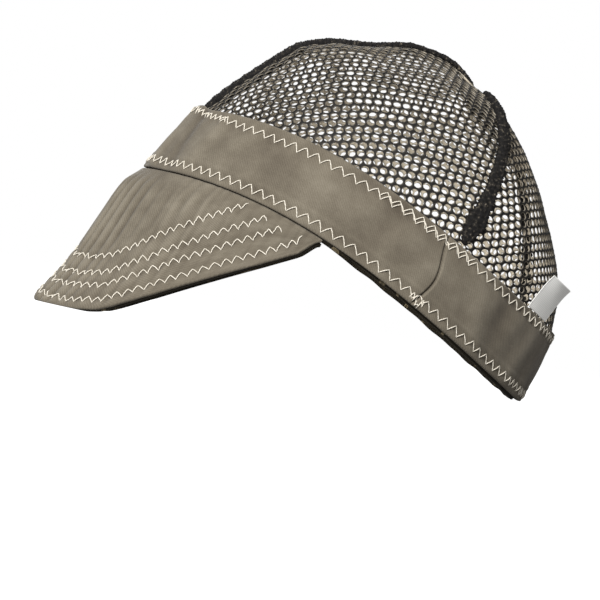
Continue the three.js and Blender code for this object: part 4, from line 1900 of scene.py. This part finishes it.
@dataclass
class Studio:
    """A pale floor, soft light from the upper front and a far camera square to the cap's side."""

    form: CapForm
    lamps: tuple[Lamp, ...] = (
        Lamp("key", (-0.5, -1.55, 1.0), 0.9, 62),
        Lamp("fill", (-0.3, 1.7, 1.0), 1.2, 22),
    )
    aim: tuple[float, float, float] = (0, 0, 0.08)  # m, what the lamps point at
    floor_reach: float = 6.0  # m from the middle to the floor's sides
    distance: float = 2.4  # m
    scale: float = 2.095  # pixels of the photograph for each millimetre at the cap
    frame_width: int = 600
    origin_pixel: tuple[float, float] = (288.6, 352.8)  # where the middle under the cap falls
    roll: float = 11.85  # degrees that the photograph is turned
    sensor: float = 36.0  # mm
    far: float = 50  # m, the farthest that the camera sees
    room: str = "#ffffff"
    room_light: float = 0.4  # how bright the white room is as a light; to the camera it is 1

    def build(self) -> None:
        """Makes the floor, the room, the lamps and the camera."""
        bpy.context.scene.view_settings.view_transform = "Standard"
        self.make_floor()
        self.make_room()
        for lamp in self.lamps:
            self.hang(lamp)
        self.make_camera()

    def make_floor(self) -> None:
        """Lays a wide white card on the floor."""
        half = self.floor_reach
        corners = [(-half, -half, 0), (half, -half, 0), (half, half, 0), (-half, half, 0)]
        mesh = bpy.data.meshes.new("floor")
        mesh.from_pydata(corners, [], [(0, 1, 2, 3)])
        mesh.materials.append(PaleFloor().build())
        floor = bpy.data.objects.new("floor", mesh)
        bpy.context.scene.collection.objects.link(floor)

    def make_room(self) -> None:
        """Surrounds the cap with an even white room, dimmer as a light than it looks."""
        world = bpy.data.worlds.new("pale_room")
        world.use_nodes = True
        nodes, links = world.node_tree.nodes, world.node_tree.links
        background = nodes["Background"]
        background.inputs["Color"].default_value = to_linear(self.room)
        strength = nodes.new("ShaderNodeMapRange")
        strength.inputs["To Min"].default_value = self.room_light
        strength.inputs["To Max"].default_value = 1.0
        seen = nodes.new("ShaderNodeLightPath").outputs["Is Camera Ray"]
        links.new(seen, strength.inputs["Value"])
        links.new(strength.outputs[0], background.inputs["Strength"])
        bpy.context.scene.world = world

    def hang(self, lamp: Lamp) -> None:
        """Hangs a lamp and turns it so that it points at the cap.

        Args:
            lamp: where it hangs and how bright it is.
        """
        light = bpy.data.lights.new(lamp.name, "AREA")
        light.size, light.energy = lamp.size, lamp.power
        holder = bpy.data.objects.new(lamp.name, light)
        bpy.context.scene.collection.objects.link(holder)
        holder.location = lamp.place
        away = unit(np.array(lamp.place) - self.aim)
        side = unit(np.cross([0, 0, 1.0], away))
        up = np.cross(away, side)
        turned = Matrix(np.stack([side, up, away], 1).tolist())
        holder.rotation_mode = "QUATERNION"
        holder.rotation_quaternion = turned.to_quaternion()

    def make_camera(self) -> None:
        """Sets the camera: it looks along +Y, rolled, with the origin at its pixel of the photograph."""
        roll = np.radians(self.roll)
        right = np.array([np.cos(roll), 0, np.sin(roll)])
        up = np.array([-np.sin(roll), 0, np.cos(roll)])
        middle = self.frame_width / 2
        across = (middle - self.origin_pixel[0]) / self.scale * MM
        above = (self.origin_pixel[1] - middle) / self.scale * MM
        place = right * across + up * above - np.array([0, self.distance, 0])
        lens = bpy.data.cameras.new("camera")
        lens.sensor_width = self.sensor
        lens.lens = self.sensor * self.distance / (self.frame_width / self.scale * MM)
        lens.clip_end = self.far
        camera = bpy.data.objects.new("camera", lens)
        bpy.context.scene.collection.objects.link(camera)
        camera.matrix_world = Matrix([
            [right[0], up[0], 0, place[0]],
            [right[1], up[1], -1, place[1]],
            [right[2], up[2], 0, place[2]],
            [0, 0, 0, 1],
        ])
        bpy.context.scene.camera = camera


def main() -> None:
    """Builds the cap's pieces in order, then the studio, and writes how large they came out."""
    logging.basicConfig(level=logging.INFO, format="%(name)s: %(message)s")
    form = CapForm()
    front, rear_left, rear_right = form.seams
    twill, print_cloth, knit = CottonTwill().build(), PrintedCotton().build(), KnittedNet().build()
    # the fourth, palest shade is painted glints: light specks for yarn catching the light and for light
    # through the folded layers' holes
    folded = KnittedNet(
        "folded_polyester_net", ("#060505", "#0e0c0b", "#211e1a", "#5a5347"),
        stops=(0.3, 0.5, 0.62, 0.72), patch=1.5, loop=1.3, roughness=0.85,
    ).build()
    band = Band(form, twill, print_cloth)
    peak = Peak(form, twill, print_cloth)
    band.build()
    peak.build()
    forwards, across, backwards = (0.88, 0, 0.47), (0, 1, 0), (-0.88, 0, -0.47)
    for part in (
        NetPanel(form, knit, "crown_left", front, rear_left, forwards, seed=3, allowance=(0.12, 0.45)),
        NetPanel(form, knit, "crown_rear", rear_left, rear_right, across, seed=4, allowance=(0.3, 0.2)),
        NetPanel(form, knit, "crown_right", rear_right, front, backwards, seed=5),
        SeamStrip(form, folded, front, 136, spread_at_band=0.6, spread_reach=0.62, thick=2.1,
                  swell=2.0, sunk=0.6, tail=1.0),
        SeamStrip(form, folded, rear_left, 116),
        SeamStrip(form, folded, rear_right, 122),
    ):
        part.build()
    Label(form, SatinTape().build()).build()
    Stitching(form, SewingThread().build(), band, peak).build()
    Studio(form).build()


if __name__ == "__main__":
    main()
